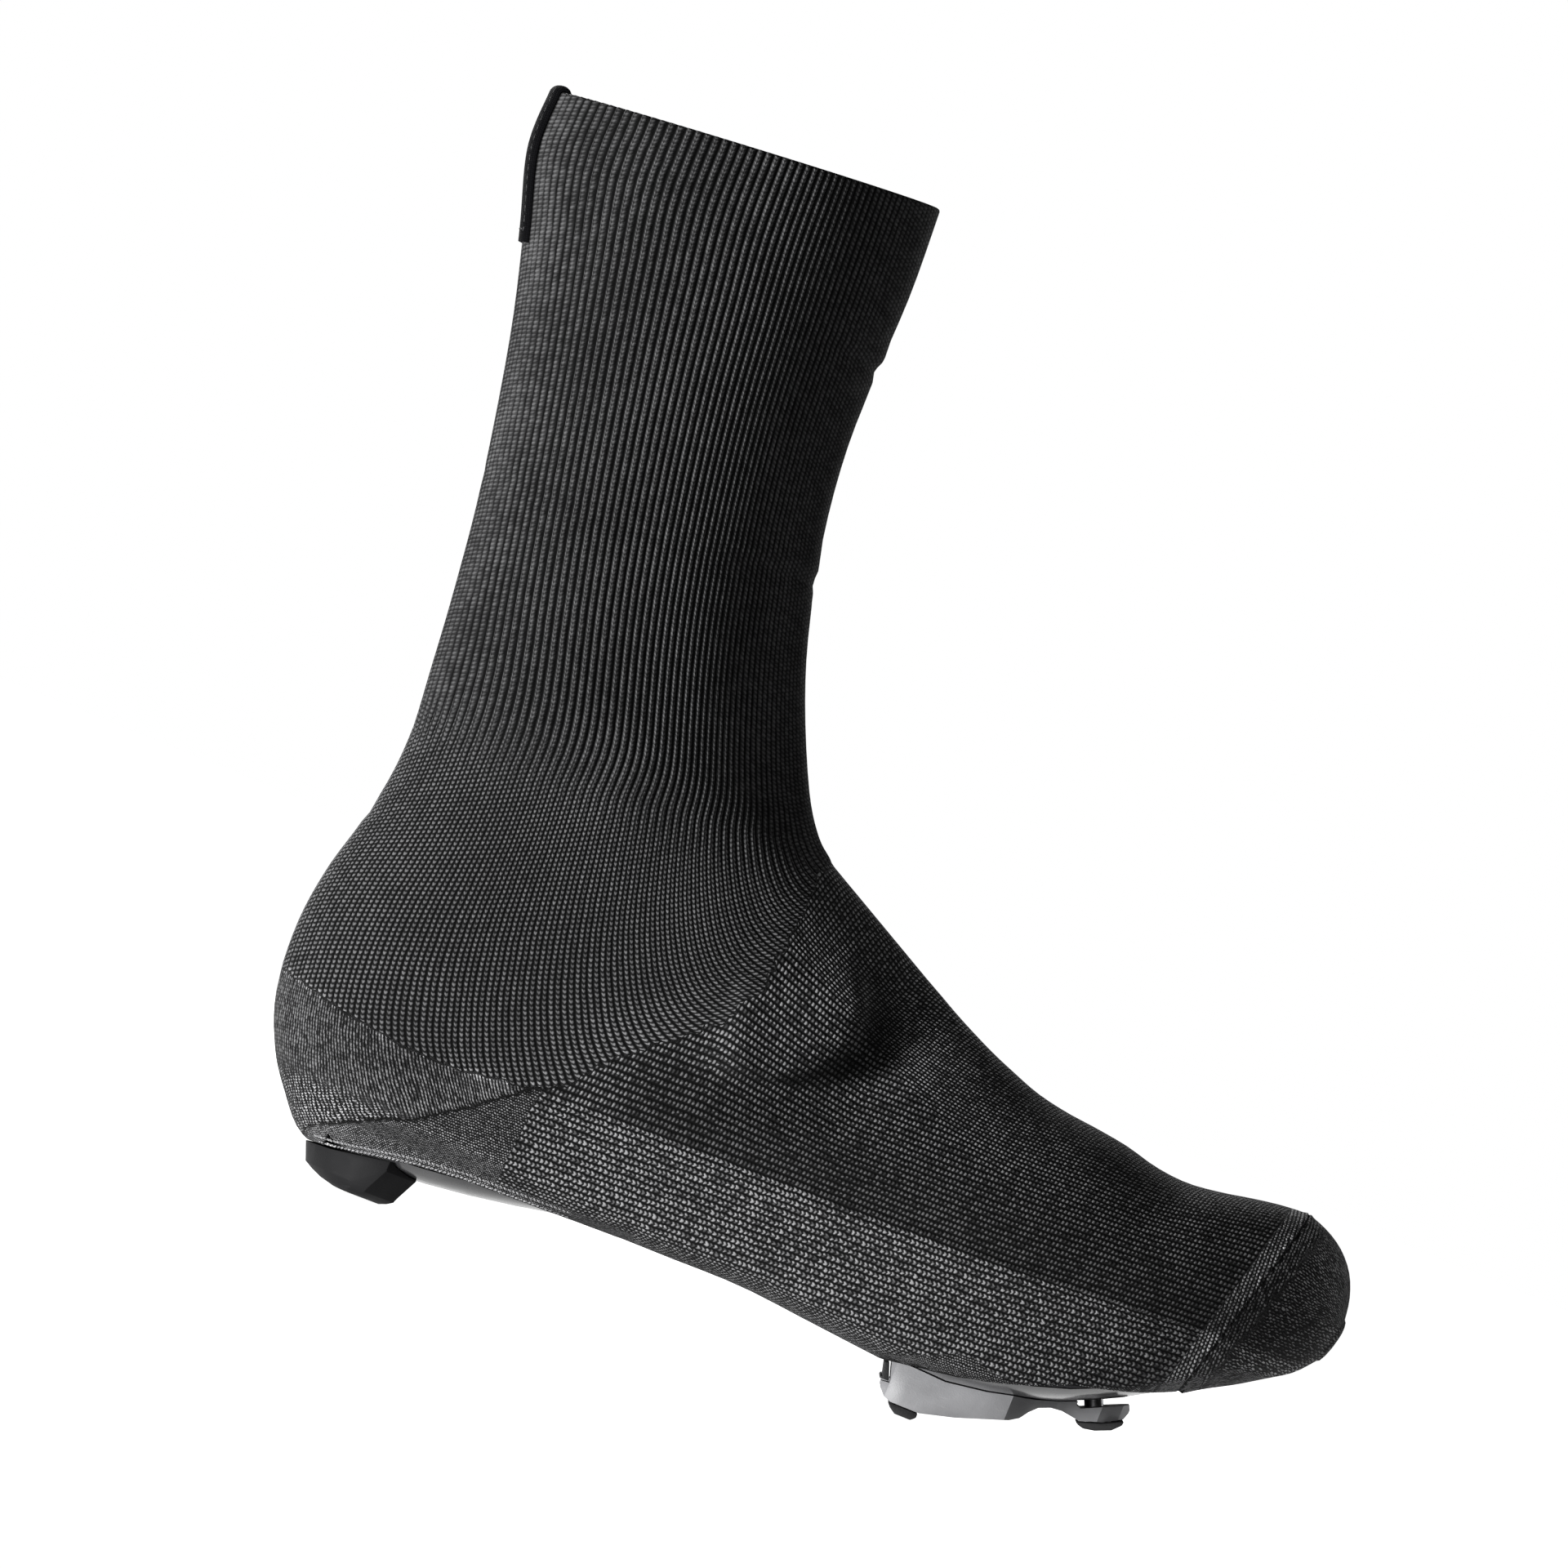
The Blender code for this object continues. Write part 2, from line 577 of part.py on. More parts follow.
def cleat_body(parts, forms, lining, pockets):
    """The cleat: plan and side profile crossed, a channel under it and a seat per bolt."""
    cleat = prism("cleat_body", cleat_outline(), BELOW_FLOOR, CLEAT_TOP, parts)
    profile = side_prism("cleat_profile", cleat_profile(), -SLAB_HALF_WIDTH, SLAB_HALF_WIDTH, forms)
    boolean(cleat, "INTERSECT", hidden(profile))
    boolean(cleat, "DIFFERENCE", lining)
    channel_at = 0.5 * (CLEAT_REAR + CLEAT_SHOULDER_X)
    channel_top = Vector((channel_at, 0.0, plate_under(channel_at) - CHANNEL_DEEP))
    channel = box_form(
        "cleat_channel",
        channel_top - sole_lean(channel_at) * 10.0,
        (70.0, 2.0 * CHANNEL_HALF, 20.0),
        sole_tilt(channel_at),
        forms,
    )
    boolean(cleat, "DIFFERENCE", hidden(channel))
    for bolt, pocket in zip(BOLTS, pockets):
        boolean(cleat, "DIFFERENCE", pocket)
        size = (8.4, 2.0 * BOLT_RADIUS + 1.0, 10.0)
        slot = box_form(f"{bolt.name}_slot", bolt_seat(bolt), size, sole_tilt(bolt.x), forms)
        boolean(cleat, "DIFFERENCE", hidden(slot))
    return cleat


def cleat_trim(parts, nose_pocket):
    """Black rubber on the cleat: two rear pads that stand on the floor, a nose pad, a tail."""
    rear = [(187.6, 2.1), (188.5, 1.1), (190.2, 0.0), (194.6, 0.0), (195.8, 1.1), (195.8, 2.2), (188.0, 2.2)]
    for name, low, high in (("cleat_pad_outer", -28.6, -13.0), ("cleat_pad_inner", 13.0, 28.6)):
        side_prism(name, rear, low, high, parts)
    nose = [
        (234.6, 15.3),
        (235.4, 14.8),
        (237.0, 14.4),
        (240.0, 15.0),
        (244.0, 16.7),
        (246.1, 18.9),
        (246.2, 20.0),
        (241.1, 17.5),
        (235.3, 15.6),
    ]
    pad = side_prism("cleat_pad_nose", nose, 1.0 - CLEAT_NOSE_HALF, CLEAT_NOSE_HALF - 1.0, parts)
    boolean(pad, "DIFFERENCE", nose_pocket)
    tail = [
        (182.9, 11.4),
        (184.2, 11.7),
        (185.7, 7.6),
        (185.7, 7.2),
        (183.2, 7.15),
        (183.3, 7.7),
        (183.8, 7.9),
    ]
    side_prism("cleat_tail", tail, -24.0, 24.0, parts)


def bolt_set(parts, forms, bolt):
    """A washer on its seat, and a low bolt through it into the plate."""
    tilt, lean, seat = sole_tilt(bolt.x), sole_lean(bolt.x), bolt_seat(bolt)
    washer_at = seat - lean * (GAP + 0.5 * WASHER_THICK)
    size = (2.0 * WASHER_HALF_LENGTH, 2.0 * WASHER_HALF_WIDTH, WASHER_THICK)
    washer = box_form(f"{bolt.name}_washer", washer_at, size, tilt, parts)
    bore = round_form(f"{bolt.name}_bore", washer_at, BOLT_RADIUS + GAP, 6.0, tilt, forms)
    boolean(washer, "DIFFERENCE", hidden(bore))
    head_at = seat - lean * (2.0 * GAP + WASHER_THICK + 0.5 * HEAD_THICK)
    head = round_form(bolt.name, head_at, HEAD_RADIUS, HEAD_THICK, tilt, parts)
    length = 0.5 * HEAD_THICK + 2.0 * GAP + WASHER_THICK + bolt.drop + BOLT_INTO_PLATE
    shank = round_form(f"{bolt.name}_shank", head_at + lean * 0.5 * length, BOLT_RADIUS, length, tilt, forms)
    boolean(head, "UNION", hidden(shank))
    hex_at = head_at - lean * 0.5 * HEAD_THICK
    hexagon = round_form(f"{bolt.name}_hex", hex_at, HEX_RADIUS, 2.0 * HEX_DEEP, tilt, forms, sides=6)
    boolean(head, "DIFFERENCE", hidden(hexagon))


def wall_form(name, grown, collection):
    """The upper's wall before its openings, grown on both faces and over the rim."""
    form = object_from(last_bmesh(close_collar=False, rim_rise=grown), name, collection)
    wall = form.modifiers.new("wall", "SOLIDIFY")
    thick = WALL + 2.0 * grown
    wall.thickness = thick * MM
    wall.offset = 2.0 * grown / thick - 1.0
    return form


def pull_tab(parts, forms):
    """A tape at the back of the collar, folded over the rim and sewn down on both faces."""
    tab = wall_form("pull_tab", GAP + TAB_THICK, parts)
    back = SECTIONS[0].sole_x
    size = (2.0 * TAB_REACH, 2.0 * TAB_HALF_WIDTH, 80.0)
    box = box_form("tab_box", (back, 0.0, TAB_FOOT + 40.0), size, 0.0, forms)
    boolean(tab, "INTERSECT", hidden(box))
    boolean(tab, "DIFFERENCE", hidden(wall_form("tab_seat", GAP, forms)))
    return tab


def finish(name, colour, roughness, metallic=0.0):
    """A plain surface for a group of pieces."""
    material = bpy.data.materials.new(name)
    material.use_nodes = True
    shader = material.node_tree.nodes["Principled BSDF"]
    shader.inputs["Base Color"].default_value = (*colour, 1.0)
    shader.inputs["Roughness"].default_value = roughness
    shader.inputs["Metallic"].default_value = metallic
    return material


def dress(parts):
    """Gives each piece its surface."""
    surfaces = {
        "knit_upper": finish("charcoal_knit", (0.035, 0.035, 0.036), 0.9),
        "pull_tab": finish("black_tape", (0.012, 0.012, 0.013), 0.6),
        "sole_plate": finish("carbon_plate", (0.02, 0.02, 0.022), 0.3),
        "insole": finish("insole_foam", (0.05, 0.05, 0.055), 0.9),
        "heel_pad": finish("pad_rubber", (0.045, 0.045, 0.047), 0.6),
        "cleat_body": finish("cleat_grey", (0.3, 0.3, 0.31), 0.5),
    }
    trim = finish("cleat_rubber", (0.015, 0.015, 0.016), 0.7)
    steel = finish("bolt_steel", (0.5, 0.5, 0.52), 0.35, 1.0)
    for item in parts.objects:
        steel_piece = item.name.startswith("bolt_")
        item.data.materials.append(surfaces.get(item.name, steel if steel_piece else trim))


def stand_on_origin(parts, forms):
    """Carries every piece and form on one empty, with the origin under the middle of the shoe."""
    graph = bpy.context.evaluated_depsgraph_get()
    corners = [
        Vector(corner)
        for item in parts.objects
        for corner in item.evaluated_get(graph).bound_box
    ]
    middle = [0.5 * (min(c[i] for c in corners) + max(c[i] for c in corners)) for i in (0, 1)]
    frame = bpy.data.objects.new("overshoe_frame", None)
    parts.objects.link(frame)
    for item in [*parts.objects, *forms.objects]:
        if item is not frame:
            item.parent = frame
    frame.location = (-middle[0], -middle[1], 0.0)


def main():
    """Builds the overshoe."""
    for item in list(bpy.data.objects):
        bpy.data.objects.remove(item)
    parts = bpy.data.collections.new("knitted_overshoe")
    forms = bpy.data.collections.new("cutting_forms")
    for collection in (parts, forms):
        bpy.context.scene.collection.children.link(collection)
    lining = hidden(last_form("lining_form", WALL, forms))
    pockets = [pocket_form(bolt, forms) for bolt in BOLTS]
    knit_upper(parts, forms)
    sole_plate(parts, forms)
    insole(parts, forms)
    heel_pad(parts, forms, lining)
    cleat_body(parts, forms, lining, pockets)
    cleat_trim(parts, pockets[-1])
    for bolt in BOLTS:
        bolt_set(parts, forms, bolt)
    pull_tab(parts, forms)
    dress(parts)
    bpy.context.view_layer.update()
    stand_on_origin(parts, forms)


main()
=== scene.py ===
"""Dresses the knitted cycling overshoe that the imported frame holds.

The knit is one ribbed wall whose wales run down the shaft, turn at the ankle and follow
the foot. The hems, the toe seam and the pull tab carry their own stitches, and the sole
plate, heel pad, cleat and bolts take moulded and metal finishes.
"""

import logging
import math
from dataclasses import dataclass, field
from enum import Enum
from functools import cache, reduce
from typing import NamedTuple

import bmesh
import bpy
import numpy as np
from bpy.types import ID, Material, Node, NodeOutputs, NodeSocket, NodeTree, Object
from mathutils import Matrix, Vector


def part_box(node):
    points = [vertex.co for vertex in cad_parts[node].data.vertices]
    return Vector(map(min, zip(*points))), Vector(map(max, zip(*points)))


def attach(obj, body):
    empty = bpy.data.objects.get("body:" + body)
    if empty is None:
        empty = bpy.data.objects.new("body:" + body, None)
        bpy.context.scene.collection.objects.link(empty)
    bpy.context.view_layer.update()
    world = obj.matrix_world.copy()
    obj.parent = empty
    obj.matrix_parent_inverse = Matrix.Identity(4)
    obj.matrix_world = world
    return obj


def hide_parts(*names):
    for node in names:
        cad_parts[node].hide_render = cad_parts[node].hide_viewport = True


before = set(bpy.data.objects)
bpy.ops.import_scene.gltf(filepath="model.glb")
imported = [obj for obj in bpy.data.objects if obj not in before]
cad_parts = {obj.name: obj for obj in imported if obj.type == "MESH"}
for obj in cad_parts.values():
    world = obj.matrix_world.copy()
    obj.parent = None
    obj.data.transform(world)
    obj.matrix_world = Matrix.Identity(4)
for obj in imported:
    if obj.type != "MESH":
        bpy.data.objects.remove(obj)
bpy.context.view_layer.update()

LOG = logging.getLogger("overshoe")
MM = 0.001
BODY = "root"
Colour = tuple[float, float, float]
Line = tuple[tuple[float, float], ...]
Array = np.ndarray


class Side(Enum):
    """The two halves of the shoe, by the sign of Y."""

    OUTER = -1.0
    INNER = 1.0


class Section(NamedTuple):
    """One section of the last, from its front or instep end to its back or sole end."""

    top_x: float
    top_z: float
    sole_x: float
    sole_z: float
    half: float
    shift: float
    level: float
    crown: float
    base: float


SECTIONS = tuple(
    Section(*row)
    for row in (
        (84.4, 292.0, -18.6, 283.2, 46.0, 0.0, 0.50, 2.1, 2.1),
        (85.4, 270.0, -18.5, 268.0, 46.0, 0.0, 0.50, 2.1, 2.1),
        (85.0, 248.0, -12.6, 248.0, 45.0, 0.0, 0.50, 2.1, 2.1),
        (85.2, 226.0, -6.6, 226.0, 43.0, 0.0, 0.50, 2.1, 2.1),
        (88.0, 203.0, -1.7, 203.0, 41.0, 0.0, 0.50, 2.1, 2.1),
        (93.6, 179.0, 2.6, 179.0, 39.2, 0.0, 0.52, 2.1, 2.1),
        (100.2, 160.0, 5.1, 160.0, 38.0, 0.0, 0.52, 2.1, 2.1),
        (109.5, 140.0, 7.2, 140.0, 37.0, 0.0, 0.52, 2.1, 2.1),
        (116.0, 130.4, 8.7, 119.0, 36.6, 0.0, 0.53, 2.2, 2.1),
        (121.5, 125.9, 8.2, 104.0, 36.5, 0.0, 0.55, 2.3, 2.2),
        (126.5, 123.0, 5.6, 90.0, 36.5, 0.0, 0.57, 2.4, 2.4),
        (131.5, 120.3, 1.8, 75.0, 36.5, 0.0, 0.58, 2.4, 2.6),
        (136.5, 117.6, 0.0, 59.0, 36.5, 0.0, 0.60, 2.4, 2.8),
        (141.5, 114.9, 1.4, 41.0, 36.5, 0.0, 0.62, 2.4, 3.0),
        (146.5, 112.2, 6.2, 28.0, 36.5, 0.0, 0.63, 2.4, 3.1),
        (151.5, 109.5, 12.6, 18.4, 36.5, 0.0, 0.64, 2.4, 3.2),
        (156.5, 106.8, 21.6, 9.2, 36.5, 0.0, 0.65, 2.4, 3.4),
        (161.5, 104.2, 36.0, 6.6, 37.0, 0.0, 0.66, 2.4, 3.7),
        (167.0, 101.3, 51.0, 6.9, 38.0, 0.0, 0.67, 2.4, 4.0),
        (173.0, 98.4, 67.0, 8.7, 39.0, -0.5, 0.68, 2.4, 4.2),
        (179.5, 95.5, 84.0, 11.6, 40.2, -1.0, 0.68, 2.4, 4.4),
        (186.5, 92.8, 102.0, 14.9, 41.8, -1.5, 0.68, 2.4, 4.6),
        (194.0, 90.2, 121.0, 15.3, 43.8, -2.0, 0.68, 2.4, 4.8),
        (202.5, 88.5, 141.0, 15.4, 46.0, -2.2, 0.68, 2.4, 5.0),
        (211.5, 87.5, 161.0, 13.6, 48.0, -2.3, 0.67, 2.4, 5.0),
        (220.5, 86.2, 180.0, 11.8, 49.3, -2.0, 0.66, 2.4, 5.0),
        (229.5, 84.0, 198.0, 10.4, 49.5, -1.2, 0.65, 2.4, 5.0),
        (238.5, 83.2, 213.5, 12.6, 48.8, 0.0, 0.64, 2.4, 4.8),
        (247.5, 84.2, 227.0, 16.2, 47.6, 1.4, 0.63, 2.5, 4.4),
        (256.0, 85.8, 238.5, 20.8, 45.6, 3.2, 0.62, 2.5, 4.0),
        (264.0, 87.0, 247.8, 25.7, 42.9, 5.0, 0.60, 2.5, 3.6),
        (271.0, 87.2, 255.3, 30.6, 39.6, 6.6, 0.58, 2.5, 3.2),
        (277.3, 85.1, 262.6, 35.3, 35.8, 8.0, 0.56, 2.4, 2.9),
        (282.6, 81.6, 269.6, 39.2, 31.2, 9.2, 0.54, 2.3, 2.6),
        (286.6, 76.8, 276.4, 43.6, 25.4, 10.2, 0.52, 2.2, 2.4),
        (289.0, 71.0, 282.6, 47.8, 18.2, 10.8, 0.50, 2.1, 2.2),
        (289.9, 65.5, 287.0, 52.8, 10.0, 11.0, 0.50, 2.0, 2.0),
    )
)
LAST_ROW = len(SECTIONS) - 1
THROAT_ROW = 7
INSTEP_ROW = 8
SEAT_ROW = 16
TOE_SEAM_ROW = 31
TOE_TIP = (290.2, 11.0, 60.0)
WALL = 1.6
GAP = 0.3
SHELF: Line = ((78.0, 43.5), (120.0, 44.5), (200.0, 46.0), (258.0, 50.0))
HEEL_HEM: Line = (
    (-30.0, 8.4), (22.0, 8.5), (30.0, 9.2), (40.0, 11.0),
    (52.0, 13.2), (65.0, 14.4), (96.0, 15.2), (109.0, 15.3),
)
HEEL_BRIM: Line = ((-20.0, 52.0), (4.0, 46.5), (21.0, 43.0), (37.0, 40.6), (54.0, 40.2), (78.0, 44.0))
PANEL_FRONT: Line = ((14.0, 72.3), (44.0, 74.8))
# The knit's fields, with their values where they don't reach
PLAIN_FIELDS = {"panel": 50.0, "mitre": -50.0, "shelf": 60.0, "toe": -50.0, "hem": 50.0, "hollow": 0.0}


def on_line(line: Line, at: Array) -> Array:
    """Value of a line of points at places along it."""
    return np.interp(at, *zip(*line))


@dataclass(frozen=True)
class CleatOpening:
    """The oval that the cleat comes through, in millimetres.

    Attributes:
        middle: Its middle along the shoe.
        half_length: Half its length.
        half_width: Half its breadth.
        squareness: How square its ends are.
        shift: How far it lies towards the big toe.
        rear_top: Height of its edge over the sole line at the back.
        front_top: The same at the front.
        front_drop: How much lower the edge ends at the toe.
    """

    middle: float = 219.0
    half_length: float = 38.6
    half_width: float = 45.6
    squareness: float = 4.2
    shift: float = -1.0
    rear_top: float = 10.0
    front_top: float = 2.9
    front_drop: float = 1.4

    def top(self, x: Array) -> Array:
        """Height of the opening's edge over the sole line at places along the shoe."""
        toe_end = self.front_top - self.front_drop
        return on_line(((198.0, self.rear_top), (212.0, self.front_top), (258.0, toe_end)), x)


CLEAT_OPENING = CleatOpening()


@dataclass(frozen=True)
class Fold:
    """A soft ridge (rise over 0) or trough (rise under 0) in the side of the knit.

    Attributes:
        x: Middle of the fold in the side view, in millimetres.
        z: Height of its middle.
        slant: Angle of its length, in degrees.
        length: Reach along it.
        breadth: Reach across it.
        rise: How far it pushes the wall outwards.
    """

    x: float
    z: float
    slant: float
    length: float
    breadth: float
    rise: float

    def push(self, x: Array, z: Array) -> Array:
        """How far this fold moves the wall.

        Args:
            x: Places along the shoe, in millimetres.
            z: Heights.

        Returns:
            The outward push at each point.
        """
        turn = math.radians(self.slant)
        along = (x - self.x) * math.cos(turn) + (z - self.z) * math.sin(turn)
        across = (z - self.z) * math.cos(turn) - (x - self.x) * math.sin(turn)
        return self.rise * np.exp(-((along / self.length) ** 2) - (across / self.breadth) ** 2)


@dataclass(frozen=True)
class Ledge:
    """An arc on the shoe's outer side where one layer of the knit stands over the next.

    Attributes:
        x: Centre of the arc in the side view, in millimetres.
        z: Height of the centre.
        radius: Radius of the arc.
        squash: Height of the arc over its breadth.
        start: First angle of the arc, in degrees.
        end: Last angle.
        rise: Height of the step.
        soft: Breadth of the step.
        run: How far behind the step the rise dies away.
        feather: Angle over which its ends fade, in degrees.
    """

    x: float
    z: float
    radius: float
    squash: float
    start: float
    end: float
    rise: float
    soft: float
    run: float
    feather: float = 14.0

    def push(self, x: Array, z: Array) -> Array:
        """How far this ledge moves the wall.

        Args:
            x: Places along the shoe, in millimetres.
            z: Heights.

        Returns:
            The outward push at each point.
        """
        across, up = x - self.x, (z - self.z) / self.squash
        behind = self.radius - np.hypot(across, up)
        angle = np.degrees(np.arctan2(up, across))
        window = smooth_step(self.start - self.feather, self.start + self.feather, angle)
        window = window * smooth_step(self.end + self.feather, self.end - self.feather, angle)
        step = 1.0 / (1.0 + np.exp(np.clip(-behind / self.soft, -40.0, 40.0)))
        return self.rise * window * step * np.exp(-np.maximum(behind, 0.0) / self.run)


# Main creases, placed from the side view
FOLDS = (
    Fold(116.0, 92.0, 55.0, 30.0, 24.0, 4.0),
    Fold(136.0, 88.0, 70.0, 20.0, 10.0, 2.2),
    Fold(158.0, 92.0, 62.0, 22.0, 9.0, -3.6),
    Fold(140.0, 68.0, 28.0, 22.0, 8.0, -2.6),
    Ledge(112.0, 88.5, 34.0, 0.68, -85.0, 38.0, 10.0, 1.0, 20.0),
    Fold(153.5, 87.0, 80.0, 15.0, 6.0, -2.6),
    Fold(138.0, 67.0, 28.0, 14.0, 4.5, -1.8),
    Fold(195.0, 90.0, -4.0, 70.0, 28.0, -5.0),
    Fold(168.0, 47.5, 2.0, 75.0, 3.2, -0.7),
    Fold(168.0, 42.5, 2.0, 75.0, 3.4, 0.6),
    Fold(233.0, 76.0, 78.0, 11.0, 7.0, -1.0),
    Fold(100.0, 118.0, -52.0, 20.0, 4.5, -0.5),
)
# Painted shade beside the ankle's lobe, where the rise is its share
PAINTED_SHADE_SPOTS = (Fold(150.0, 90.0, -68.0, 12.0, 5.0, 1.0), Fold(145.0, 77.0, 49.0, 11.0, 4.0, 0.95))
# Small wrinkles across the ribs
WRINKLES = (
    Fold(85.0, 247.5, -8.0, 12.0, 2.0, -0.8),
    Fold(85.0, 251.5, -8.0, 14.0, 2.4, 0.4),
    Fold(89.0, 190.5, 4.0, 18.0, 2.0, -0.6),
    Fold(89.0, 194.5, 4.0, 20.0, 2.4, 0.35),
    Fold(45.0, 186.0, 0.5, 46.0, 1.5, -0.32),
    Fold(3.0, 94.0, 0.0, 8.0, 2.0, -0.6),
)


def smooth_step(low: float, high: float, value: Array) -> Array:
    """A soft step of a value from 0 at low to 1 at high; low may be the larger."""
    part = np.clip((value - low) / (high - low), 0.0, 1.0)
    return part * part * (3.0 - 2.0 * part)


def section_curve(turn: Array, level: Array, crown: Array, base: Array) -> tuple:
    """Shares down and across a section, over its upper and its lower quarter.

    Args:
        turn: Angles of a quarter turn.
        level: Share down the section where it is widest.
        crown: Squareness of the upper quarter.
        base: Squareness of the lower quarter.

    Returns:
        Shares down the two quarters, then their shares of the half width.
    """
    upper = level * (1.0 - np.cos(turn) ** (2.0 / crown))
    lower = level + (1.0 - level) * np.sin(turn) ** (2.0 / base)
    return upper, lower, np.sin(turn) ** (2.0 / crown), np.cos(turn) ** (2.0 / base)


class Last:
    """The form that the knit is drawn over, in millimetres from the back of the heel."""

    def __init__(self) -> None:
        """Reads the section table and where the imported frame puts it."""
        self.table = np.array(SECTIONS, float)
        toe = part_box("knit_upper")[1].x
        pad_low, pad_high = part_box("heel_pad")
        self.origin = np.array([toe - TOE_TIP[0] * MM, 0.5 * (pad_low.y + pad_high.y), 0.0])
        close = self.rows_at(np.linspace(SEAT_ROW, LAST_ROW, 12 * (LAST_ROW - SEAT_ROW)))
        self.sole_line = close[:, 2:4]

    def rows_at(self, rows_on: Array) -> Array:
        """Section values on a smooth curve through the table.

        Args:
            rows_on: Row numbers, which may lie between two rows.

        Returns:
            One line of section values for each row number.
        """
        first = np.clip(np.floor(rows_on).astype(int), 0, LAST_ROW - 1)
        part = (rows_on - first)[:, None]
        before, after = np.maximum(first - 1, 0), np.minimum(first + 2, LAST_ROW)
        p0, p1, p2, p3 = (self.table[i] for i in (before, first, first + 1, after))
        curve = 2 * p1 + (p2 - p0) * part
        curve += (2 * p0 - 5 * p1 + 4 * p2 - p3) * part**2
        curve += (3 * p1 - p0 - 3 * p2 + p3) * part**3
        return 0.5 * curve

    def half_lines(self, rows_on: Array, side: Side, close: int, folds: tuple = FOLDS) -> Array:
        """Closely spaced points of half of each section, from its top to its sole.

        Args:
            rows_on: Row numbers.
            side: Which half.
            close: Points for each quarter of a section.
            folds: Folds that push the side out or in.

        Returns:
            Points by row and place, in millimetres.
        """
        rows = self.rows_at(rows_on)
        top_x, top_z, sole_x, sole_z, half, shift, level, crown, base = (c[:, None] for c in rows.T)
        turn = np.linspace(0.0, math.pi / 2, close)[None, :]
        upper, lower, wide_over, wide_under = section_curve(turn, level, crown, base)
        share = np.concatenate([upper, lower[:, 1:]], axis=1)
        wide = np.concatenate([wide_over, wide_under[:, 1:]], axis=1)
        x = top_x + share * (sole_x - top_x)
        z = top_z + share * (sole_z - top_z)
        worn = [fold for fold in folds if side is Side.OUTER or isinstance(fold, Fold)]
        rise = sum((fold.push(x, z) for fold in worn), np.zeros_like(x))
        y = shift + side.value * wide * (half + rise)
        return np.stack([x, y, z], axis=2)

    def sole_height(self, x: Array) -> Array:
        """Height of the knit's outer face along the middle of the sole, at places along the shoe."""
        return np.interp(x, self.sole_line[:, 0], self.sole_line[:, 1])

    def to_frame(self, points: Array) -> Array:
        """Points on the last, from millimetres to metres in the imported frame."""
        return np.asarray(points, float) * MM + self.origin


